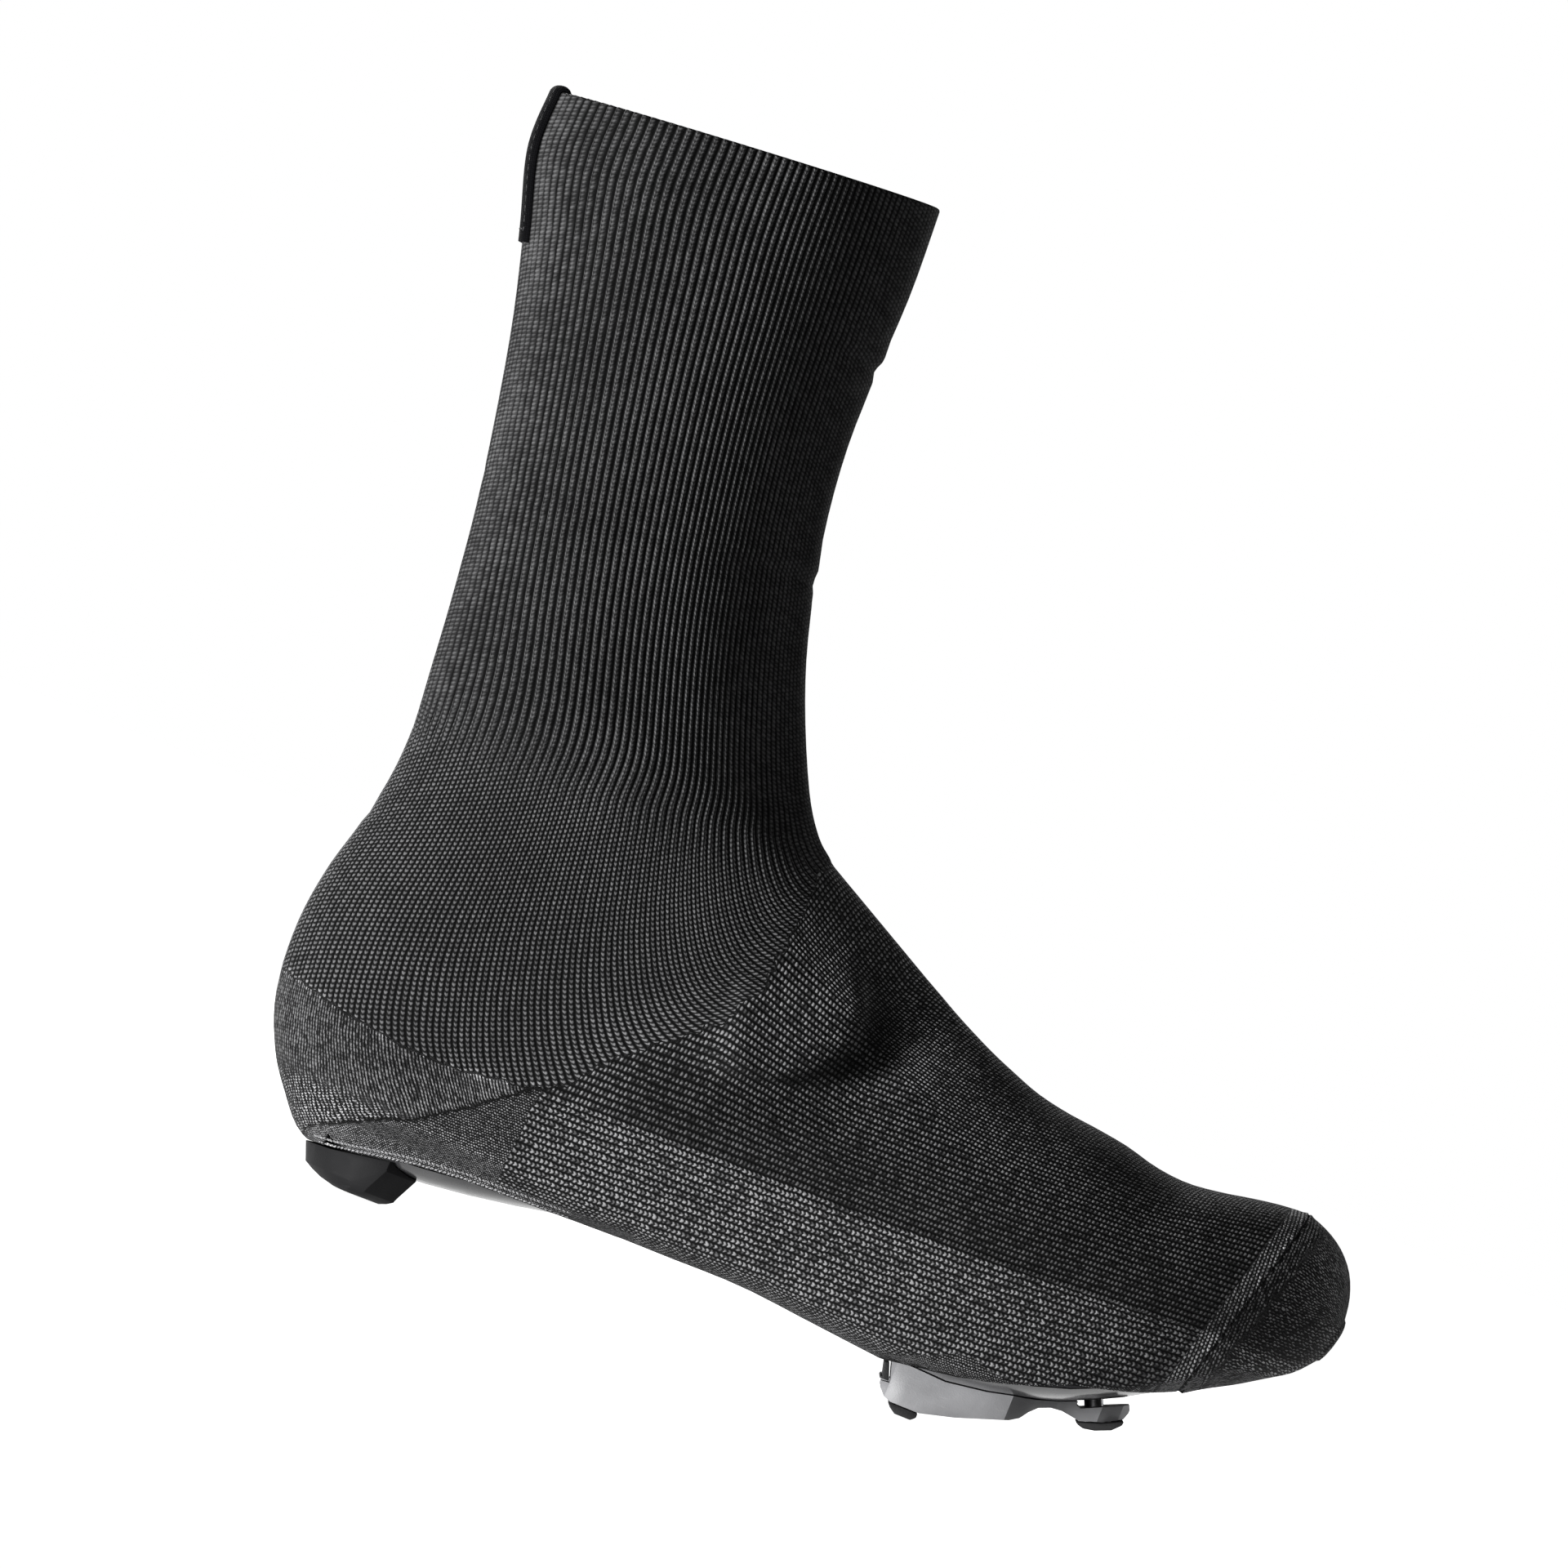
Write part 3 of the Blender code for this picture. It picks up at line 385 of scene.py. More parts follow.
class WaleField:
    """Which wale of the knit passes through each point of the side.

    The share runs from 0 at the front and instep line to 1 at the back and sole line. Below
    the throat each wale is traced up a field of leans: it falls from the throat, sweeps
    forwards at the ankle and runs on along the foot.

    Attributes:
        turn: Line up from the sole where the wales turn.
        sweep: The same line further up, where they sweep into the foot.
        change: The same, where the kind of knit changes.
        lean_at: Distances up to the line, under 0.
        leans: Leans of the wales there, in degrees.
        past_at: Distances past the line.
        past: Leans there.
        lean_run: Distance from the back over which the leans grow.
        foot_start: Where the foot's rows start along the shoe.
        foot_end: Where they stop following its sections.
        foot_soft: How softly they start.
        pattern_row: Section that the foot's wales are measured on.
        pattern_shelf: Share down it where the shelf lies.
        row_pitch: Height of a row of stitches on the foot.
        crown: Depth of the rounded top of the foot.
        crown_spread: Closeness of the rows over the rounded top.
        tilt: Most tilt of the rows behind the instep.
        density: Closeness of the wales by share.
        cell: Pitch of the grid that the wales are traced on.
        trace_steps: Steps of a millimetre up each wale.
    """

    turn: Line = (
        (22.0, 12.0), (40.0, 21.5), (46.0, 23.0), (55.0, 29.5),
        (61.0, 34.0), (67.0, 38.5), (73.0, 43.0), (78.0, 45.0),
    )
    sweep: Line = (
        (84.0, 53.0), (90.0, 62.0), (98.0, 80.0), (105.0, 95.0),
        (109.0, 107.0), (113.0, 119.0), (116.0, 130.0), (118.0, 140.0),
    )
    change: Line = (
        (80.0, 47.0), (90.0, 58.0), (101.0, 68.0), (111.0, 77.0),
        (118.0, 88.0), (120.0, 105.0), (120.0, 120.0), (126.0, 140.0),
    )
    lean_at = (-60.0, -47.0, -35.0, -28.0, -18.0, -8.0, 0.0)
    leans = (4.0, 7.0, 13.0, 15.0, 21.5, 30.5, 45.0)
    past_at = (0.0, 4.0, 7.0, 10.0)
    past = (45.0, 60.0, 70.0, 78.0)
    lean_run = 34.0
    foot_start = 116.0
    foot_end = 268.0
    foot_soft = 9.0
    pattern_row = 24.0
    pattern_shelf = 0.575
    row_pitch = 1.95
    crown = 24.0
    crown_spread = 7.4
    tilt = 0.48
    density: Line = (
        (0.0, 0.5), (0.07, 0.85), (0.16, 1.15), (0.32, 1.3),
        (0.5, 1.05), (0.7, 0.9), (0.88, 0.7), (1.0, 0.5),
    )
    cell = 1.5
    trace_steps = 230

    def __init__(self, last: Last) -> None:
        """Measures the throat and one section of the foot, and traces the wales.

        Args:
            last: The form that the wales lie on.
        """
        self.last = last
        throat = last.half_lines(np.array([float(THROAT_ROW)]), Side.INNER, 240, ())[0]
        self.throat_x, self.throat_share = throat[:, 0], self.shares(throat[None])[0]
        self.throat_z = throat[0, 2]
        back = last.rows_at(np.linspace(THROAT_ROW, SEAT_ROW, 120))
        self.back_line = back[:, 2:4][::-1]
        row = last.rows_at(np.array([self.pattern_row]))[0]
        self.profile = level, crown, base = row[6:9]
        turn = np.linspace(0.0, math.pi / 2, 300)
        high = row[1] - row[3]
        upper, lower, wide_over, wide_under = section_curve(turn, level, crown, base)
        down, wide = np.concatenate([upper, lower]), np.concatenate([wide_over, wide_under])
        steps = np.hypot(np.diff(down) * high, np.diff(wide) * row[4])
        self.turn_share = np.concatenate([[0.0], np.cumsum(steps)]) / steps.sum()
        self.turns = np.concatenate([turn, turn + math.pi / 2])

        self.x_on = np.arange(-14.0, 140.0, self.cell)
        self.z_on = np.arange(6.0, 142.0, self.cell)
        self.starts = self.trace(*np.meshgrid(self.x_on, self.z_on, indexing="ij"))
        z = np.linspace(124.0, 13.0, 220)
        line = self.turn + self.sweep
        x = np.interp(z, *zip(*((b, a) for a, b in line)))
        x = x + self.past_at[-1] * self.reach(z) * 1.1
        share = self.foot(x, z)
        rising = np.linspace(0.0, 1e-4, len(share))
        self.foot_from = np.concatenate([[0.0], np.maximum.accumulate(share) + rising, [1.0]])
        self.foot_to = np.concatenate([[0.0], np.maximum.accumulate(self.shaft(x, z)) + rising, [1.0]])

    @staticmethod
    def shares(lines: Array) -> Array:
        """Share of each line's length at each of its points.

        Args:
            lines: Points by line and place.

        Returns:
            Shares from 0 to 1, by line and place.
        """
        steps = np.linalg.norm(np.diff(lines, axis=1), axis=2)
        run = np.concatenate([np.zeros((len(lines), 1)), np.cumsum(steps, axis=1)], axis=1)
        return run / run[:, -1:]

    @staticmethod
    def beyond(x: Array, z: Array, line: tuple) -> Array:
        """Distance of points to the toe side of a line that rises from the sole.

        Args:
            x: Places along the shoe, in millimetres.
            z: Heights.
            line: Points of the line, from its foot up.

        Returns:
            The distances, under 0 on the heel side.
        """
        along, up = (np.array(part) for part in zip(*line))
        slope = (np.interp(z + 2.0, up, along) - np.interp(z - 2.0, up, along)) / 4.0
        return (x - np.interp(z, up, along)) / np.hypot(1.0, slope)

    @staticmethod
    def reach(z: Array) -> Array:
        """How gently the wales turn at each height, from a sharp mitre at the sole."""
        return np.interp(z, (44.0, 50.0, 58.0, 66.0), (0.1, 0.35, 0.75, 1.0))

    def lean(self, x: Array, z: Array) -> Array:
        """Lean of the wale at each point, from the upright.

        Args:
            x: Places along the shoe, in millimetres.
            z: Heights.

        Returns:
            The leans in radians.
        """
        across = self.beyond(x, z, self.turn + self.sweep)
        most = on_line(((44.0, 30.0), (56.0, 45.0)), z)
        before = np.minimum(np.interp(across, self.lean_at, self.leans), most)
        before = before * np.clip((x - self.throat_x[-1]) / self.lean_run, 0.0, 1.0)
        after = np.interp(across / self.reach(z), self.past_at, self.past)
        return np.radians(np.where(across < 0, before, after))

    def trace(self, x: Array, z: Array) -> Array:
        """Follows the wales from points up to the throat.

        Args:
            x: Places along the shoe, in millimetres.
            z: Heights.

        Returns:
            The place along the throat where each wale starts.
        """
        rear = self.throat_x[-1]
        back = np.interp(z, self.back_line[:, 1], self.back_line[:, 0])
        part = np.clip((x - back) / (self.sweep[-1][0] - back), 0.0, 1.0)
        x, z = x - (back - rear) * (1 - part) ** 2, np.array(z)
        for _ in range(self.trace_steps):
            lean = self.lean(x, z)
            lean = self.lean(x - 0.5 * np.sin(lean), z + 0.5 * np.cos(lean))
            step = np.clip((self.throat_z - z) / np.cos(lean), 0.0, 1.0)
            x, z = x - step * np.sin(lean), z + step * np.cos(lean)
        return x

    def shaft(self, x: Array, z: Array) -> Array:
        """Share of the shaft's wale at each point below the throat.

        Args:
            x: Places along the shoe, in millimetres.
            z: Heights.

        Returns:
            The shares.
        """
        across = np.clip((x - self.x_on[0]) / self.cell, 0.0, len(self.x_on) - 1.001)
        up = np.clip((z - self.z_on[0]) / self.cell, 0.0, len(self.z_on) - 1.001)
        i, j = across.astype(int), up.astype(int)
        a, b = across - i, up - j
        low = self.starts[i, j] * (1 - a) + self.starts[i + 1, j] * a
        high = self.starts[i, j + 1] * (1 - a) + self.starts[i + 1, j + 1] * a
        return np.interp(low * (1 - b) + high * b, self.throat_x[::-1], self.throat_share[::-1])

    def foot(self, x: Array, z: Array) -> Array:
        """Share of each point down the side of the foot.

        Args:
            x: Places along the shoe, in millimetres.
            z: Heights.

        Returns:
            The shares.
        """
        table = self.last.table
        level, crown, base = self.profile
        ahead = np.log1p(np.exp(np.minimum((x - self.foot_start) / self.foot_soft, 30.0)))
        x = np.minimum(self.foot_start + self.foot_soft * ahead, self.foot_end)
        top = np.interp(x, table[INSTEP_ROW:, 0], table[INSTEP_ROW:, 1])
        low = np.interp(x, table[SEAT_ROW:, 2], table[SEAT_ROW:, 3])
        shelf = on_line(SHELF, x)
        down = self.pattern_shelf * np.clip((top - z) / (top - shelf), 0.0, 1.0)
        down = down + (1 - self.pattern_shelf) * np.clip((shelf - z) / (shelf - low), 0.0, 1.0)
        above = np.clip(1 - down / level, 0.0, 1.0) ** (crown / 2)
        below = np.clip((down - level) / (1 - level), 0.0, 1.0) ** (base / 2)
        over, under = np.arccos(above), np.arcsin(below)
        return np.interp(np.where(down < level, over, under + math.pi / 2), self.turns, self.turn_share)

    def crowded(self, share: Array) -> Array:
        """Spaces the wales: closest on the side, wider at the front and at the back."""
        at = np.linspace(0.0, 1.0, 201)
        closeness = on_line(self.density, (at[1:] + at[:-1]) / 2)
        total = np.concatenate([[0.0], np.cumsum(closeness)])
        return np.interp(share, at, total / total[-1])

    def rows(self, points: Array) -> Array:
        """Number of the foot's row of stitches at each point, counted down from the shelf.

        Args:
            points: Points on the last.

        Returns:
            The row numbers.
        """
        x, y, z = points[..., 0], points[..., 1], points[..., 2]
        table, flat = self.last.table, np.clip(x, self.foot_start, self.foot_end)
        bend = np.interp(flat, table[INSTEP_ROW:, 0], table[INSTEP_ROW:, 1]) - self.crown
        low = np.interp(flat, table[SEAT_ROW:, 2], table[SEAT_ROW:, 3])
        middle = table[:, 0] + (table[:, 2] - table[:, 0]) * table[:, 6]
        half, shift = (np.interp(flat, middle[SEAT_ROW:], table[SEAT_ROW:, i]) for i in (4, 5))
        turn = np.arctan2(np.maximum(z - bend, 0.0), np.abs(y - shift) * self.crown / half + 1e-6)
        high = np.minimum(z, bend) + self.crown * turn
        high = high + (half - self.crown) * turn**3 / self.crown_spread
        high = high - smooth_step(7.0, 1.0, z - low) * np.clip(half - np.abs(y - shift), 0.0, 60.0)
        tilt = self.tilt * np.clip((high - 46.0) / 58.0, 0.0, 1.2) * np.clip(x - 114.0, 0.0, 38.0)
        return (on_line(SHELF, x) - high - tilt) / self.row_pitch

    def share(self, points: Array, rows_on: Array) -> tuple[Array, Array]:
        """The wale share of each point, and how far into the foot's kind of knit it lies.

        Args:
            points: Points by row and place.
            rows_on: Row number of each row.

        Returns:
            The shares, and the distance into the foot in millimetres, by row and place.
        """
        own = self.shares(points)
        x, z, rows = points[..., 0], points[..., 2], rows_on[:, None]
        over_throat = smooth_step(THROAT_ROW + 0.9, THROAT_ROW, rows)
        mitre = self.beyond(x, z, self.turn + self.change) - 60.0 * over_throat
        past = self.beyond(x, z, self.turn + self.sweep) / self.reach(z) - self.past_at[-1]
        foot = np.interp(self.foot(x, z), self.foot_from, self.foot_to)
        shaft = self.shaft(x, z)
        wale = shaft + (foot - shaft) * smooth_step(-3.0, 3.0, past)
        front_edge, back_edge = np.full(len(rows), 0.1), on_line(((13.0, 0.9), (16.0, 0.76)), rows_on)
        for edges, end in ((front_edge, 0.0), (back_edge, 1.0)):
            known = np.array([np.interp(edge, a, b) for edge, a, b in zip(edges, own, wale)])[:, None]
            outer = np.clip((own - edges[:, None]) / (end - edges[:, None]), 0.0, 1.0)
            wale = np.where(outer > 0, known + (end - known) * outer, wale)
        wale = own + (wale - own) * smooth_step(THROAT_ROW, THROAT_ROW + 1.5, rows)
        toe = np.interp(own, self.foot_from, self.foot_to)
        wale = self.crowded(wale + (toe - wale) * smooth_step(28.0, 31.0, rows))
        wale = np.maximum.accumulate(wale, axis=1)
        wale += np.linspace(0.0, 1e-6, wale.shape[1])
        wale = (wale - wale[:, :1]) / (wale[:, -1:] - wale[:, :1])
        return wale, mitre


class NodeBoard:
    """Places and links the nodes of one tree."""

    def __init__(self, tree: NodeTree) -> None:
        """Keeps the tree that the nodes go into."""
        self.tree = tree

    def add(self, kind: str, **settings: object) -> Node:
        """Adds a node.

        Args:
            kind: Blender's name for the type of node.
            **settings: Properties to set on it.

        Returns:
            The new node.
        """
        node = self.tree.nodes.new(kind)
        for name, value in settings.items():
            setattr(node, name, value)
        return node

    def feed(self, socket: NodeSocket, value: object) -> None:
        """Links a socket to another, or sets its value.

        Args:
            socket: Input to feed.
            value: An output socket, or a plain value.
        """
        if isinstance(value, NodeSocket):
            self.tree.links.new(value, socket)
        else:
            socket.default_value = value

    def math(self, operation: str, *values: object) -> NodeSocket:
        """Result of a Math node, by Blender's name for the operation and its inputs in order."""
        return self.fed("ShaderNodeMath", dict(enumerate(values)), operation=operation).outputs[0]

    def fed(self, kind: str, inputs: dict[str | int, object], **settings: object) -> Node:
        """Adds a node and feeds its inputs.

        Args:
            kind: Blender's name for the type of node.
            inputs: What goes into its sockets, by name or number.
            **settings: Properties to set on it.

        Returns:
            The new node.
        """
        node = self.add(kind, **settings)
        for socket, value in inputs.items():
            self.feed(node.inputs[socket], value)
        return node

    def times(self, *values: object) -> NodeSocket:
        """Product of numbers."""
        return reduce(lambda first, second: self.math("MULTIPLY", first, second), values)

    def most(self, *values: object) -> NodeSocket:
        """Largest of some numbers."""
        return reduce(lambda first, second: self.math("MAXIMUM", first, second), values)

    def less(self, first: object, second: object) -> NodeSocket:
        """First number less the second."""
        return self.math("SUBTRACT", first, second)

    def rest(self, share: object) -> NodeSocket:
        """What a share leaves of 1."""
        return self.less(1.0, share)

    def fused(self, value: object, factor: object, added: object) -> NodeSocket:
        """A number times a factor, plus another number."""
        return self.math("MULTIPLY_ADD", value, factor, added)

    def place(self) -> NodeSocket:
        """Place of each point in the piece's own space."""
        return self.add("ShaderNodeTexCoord").outputs["Object"]

    def parts(self, vector: object) -> NodeOutputs:
        """The three numbers of a vector."""
        return self.fed("ShaderNodeSeparateXYZ", {0: vector}).outputs

    def map_at(self, name: str) -> list[NodeSocket]:
        """Wale and course of each point on one of a piece's maps."""
        return self.parts(self.add("ShaderNodeUVMap", uv_map=name).outputs[0])[:2]

    def field(self, name: str) -> NodeSocket:
        """Value of one of the mesh's attributes."""
        return self.add("ShaderNodeAttribute", attribute_name=name).outputs["Fac"]

    def step(
        self, value: object, low: float, high: float, out_low: float = 0.0, out_high: float = 1.0
    ) -> NodeSocket:
        """A soft step of a value between two limits, from one result to another."""
        inputs = dict(enumerate((value, low, high, out_low, out_high)))
        return self.fed("ShaderNodeMapRange", inputs, interpolation_type="SMOOTHSTEP").outputs[0]

    def mix(self, share: object, first: object, second: object) -> NodeSocket:
        """A mix of two numbers by the share of the second."""
        return self.fed("ShaderNodeMix", {0: share, 2: first, 3: second}, data_type="FLOAT").outputs[0]

    def blend(self, share: object, first: object, second: object, kind: str = "MIX") -> NodeSocket:
        """A mix of two colours, or of their sockets, by the share of the second."""
        pair = [(*value, 1.0) if isinstance(value, tuple) else value for value in (first, second)]
        inputs = {0: share, 6: pair[0], 7: pair[1]}
        return self.fed("ShaderNodeMix", inputs, data_type="RGBA", blend_type=kind).outputs[2]

    def noise(self, place: object, scale: float, detail: float = 2.0, rough: float = 0.5) -> NodeSocket:
        """A noise pattern from 0 to 1, by waves to the unit, octaves and strength of the finer ones."""
        inputs = {"Vector": place, "Scale": scale, "Detail": detail, "Roughness": rough}
        return self.fed("ShaderNodeTexNoise", inputs).outputs[0]

    def group(self, tree: NodeTree, **values: object) -> Node:
        """Places a node group and feeds its inputs by name."""
        return self.fed("ShaderNodeGroup", values, node_tree=tree)


class Effects:
    """Shader groups that more than one finish uses, each built once."""

    @staticmethod
    def open_group(
        name: str, takes: tuple[str, ...], gives: tuple[str, ...]
    ) -> tuple[NodeBoard, Node, Node]:
        """Starts a group with number sockets.

        Args:
            name: Name of the group.
            takes: Names of its inputs; Place is a vector.
            gives: Names of its outputs.

        Returns:
            The board, and the group's input and output nodes.
        """
        tree = bpy.data.node_groups.new(name, "ShaderNodeTree")
        for label in takes:
            kind = "NodeSocketVector" if label == "Place" else "NodeSocketFloat"
            tree.interface.new_socket(label, in_out="INPUT", socket_type=kind)
        for label in gives:
            tree.interface.new_socket(label, in_out="OUTPUT", socket_type="NodeSocketFloat")
        board = NodeBoard(tree)
        return board, board.add("NodeGroupInput"), board.add("NodeGroupOutput")

    @staticmethod
    @cache
    def stitches() -> NodeTree:
        """Rows of knitted stitches: each wale is a crest of slanted legs between two grooves.

        Returns:
            The group, with Height, Lit and Chance out.
        """
        takes = ("Wale", "Course", "Slant", "Split", "Join", "Fill", "Stagger")
        board, source, sink = Effects.open_group("knit_stitches", takes, ("Height", "Lit", "Chance"))
        wale, course, slant, split, join, fill, stagger = source.outputs[:7]
        across = board.less(board.math("FRACT", wale), 0.5)
        off = board.math("ABSOLUTE", across)
        shifted = board.fused(board.math("FLOOR", wale), stagger, course)
        slid = board.math("ADD", shifted, board.times(slant, off))
        along = board.math("ABSOLUTE", board.less(board.math("FRACT", slid), 0.5))
        half = board.math("GREATER_THAN", across, 0.0)
        column = board.fused(half, 0.37, board.math("FLOOR", wale))
        cell = board.fed("ShaderNodeCombineXYZ", {0: column, 1: board.math("FLOOR", slid)}).outputs[0]
        chance = board.fed("ShaderNodeTexWhiteNoise", {"Vector": cell}, noise_dimensions="2D")
        edge = board.math("POWER", board.times(off, 2.0), board.math("ADD", fill, 1.0))
        edge = board.times(edge, 0.5)
        breadth = board.math("POWER", board.times(edge, 2.3), 2.0)
        length = board.math("POWER", board.times(along, 2.02), 2.0)
        bead = board.math("SQRT", board.math("ADD", breadth, length))
        parted = board.times(board.step(off, 0.0, 0.1, 1.0, 0.0), split)
        crest = board.less(board.step(edge, 0.48, 0.1), parted)
        dome = board.less(board.step(bead, 1.05, 0.1), parted)
        share = board.fused(join, -0.4, 0.62)
        height = board.mix(share, crest, dome)
        strand = board.times(board.step(edge, 0.44, 0.2), join)
        lit = board.most(board.less(board.most(board.step(bead, 1.08, 0.32), strand), parted), 0.0)
        for socket, value in zip(sink.inputs, (height, lit, chance.outputs[0])):
            board.feed(socket, value)
        return board.tree

    @staticmethod
    @cache
    def grain() -> NodeTree:
        """Fine moulding grain with a slow drift of tone and a few scuffs.

        Returns:
            The group: Place, Grain and Scuff in; Height, Drift and Wear out.
        """
        takes, gives = ("Place", "Grain", "Scuff"), ("Height", "Drift", "Wear")
        board, source, sink = Effects.open_group("moulded_grain", takes, gives)
        place, grain, scuff = source.outputs[:3]
        fine = board.fed("ShaderNodeTexVoronoi", {"Vector": place, "Scale": grain}, feature="F1")
        slow = board.noise(place, 70.0, 3.0)
        streak = board.fed("ShaderNodeMapping", {"Vector": place, "Scale": (1.0, 1.0, 6.0)}).outputs[0]
        marks = board.step(board.noise(streak, 260.0, 4.0, 0.7), 0.58, 0.72)
        for socket, value in zip(sink.inputs, (fine.outputs["Distance"], slow, board.times(marks, scuff))):
            board.feed(socket, value)
        return board.tree


def new_material(name: str) -> tuple[Material, NodeBoard, Node]:
    """An empty material with its main shader.

    Args:
        name: Name of the finish.

    Returns:
        The material, the board of its nodes and the shader.
    """
    material = bpy.data.materials.new(name)
    material.use_nodes = True
    board = NodeBoard(material.node_tree)
    return material, board, material.node_tree.nodes["Principled BSDF"]


def bump_into(board: NodeBoard, shader: Node, height: object, reach: float, strength: float) -> None:
    """Feeds a height pattern to a shader's normal; reach is the height of a full step, in metres."""
    bump = board.fed("ShaderNodeBump", {"Strength": strength, "Distance": reach, "Height": height})
    board.feed(shader.inputs["Normal"], bump.outputs[0])


class KnitZones:
    """Where each kind of knit lies: sockets of its shares and distances in one material."""

    def __init__(self, board: NodeBoard, place: object) -> None:
        """Reads the knit's maps and fields, and parts the kinds from each other.

        Args:
            board: Board of the material's nodes.
            place: Socket with the place of each point.
        """
        self.panel, self.mitre, self.shelf, self.toe, hem, self.hollow = map(board.field, PLAIN_FIELDS)
        self.wander = board.less(board.noise(place, 240.0, 2.0), 0.5)
        self.low = board.step(self.shelf, 5.0, 1.0)
        ragged = board.fused(self.wander, board.mix(self.low, 6.0, 2.0), self.mitre)
        self.on_foot = board.step(ragged, -0.2, 0.2)
        on_shaft = board.rest(self.on_foot)
        maps = zip(board.map_at("wales"), board.map_at("rows"))
        wale, course = (board.mix(self.on_foot, shaft, foot) for shaft, foot in maps)
        self.wale = board.fused(self.wander, 0.14, wale)
        self.course = board.fused(self.wander, 0.3, course)

        self.in_panel = board.step(board.fused(self.wander, 2.4, self.panel), 0.3, -0.3)
        self.in_toe = board.step(self.toe, -0.2, 0.2)
        from_band = board.step(self.toe, -6.6, -6.1)
        self.in_band = board.less(from_band, self.in_toe)
        self.by_seam = board.less(from_band, board.step(board.fused(self.wander, 8.0, self.toe), 6.0, 9.0))
        self.in_hem = board.step(hem, 3.9, 3.3)
        self.outside = board.times(self.on_foot, board.rest(self.in_panel))
        self.in_net = board.times(board.step(self.shelf, 0.7, -0.7), self.outside)
        self.at_ankle = board.times(board.step(self.shelf, 92.0, 64.0), on_shaft)
        self.ribbed = board.times(on_shaft, board.rest(self.at_ankle))
        self.low_heel = board.times(self.in_panel, board.step(self.shelf, -17.0, -22.0))
        self.fine = board.most(self.in_panel, self.at_ankle, self.by_seam)
        in_gusset = board.times(self.in_panel, self.on_foot)
        self.plain = board.most(in_gusset, self.low_heel, board.less(self.in_toe, self.by_seam), self.in_hem)
        brim = board.step(board.fused(self.wander, 5.0, board.math("ABSOLUTE", self.panel)), 1.0, 0.3)
        self.on_brim = board.times(brim, on_shaft)


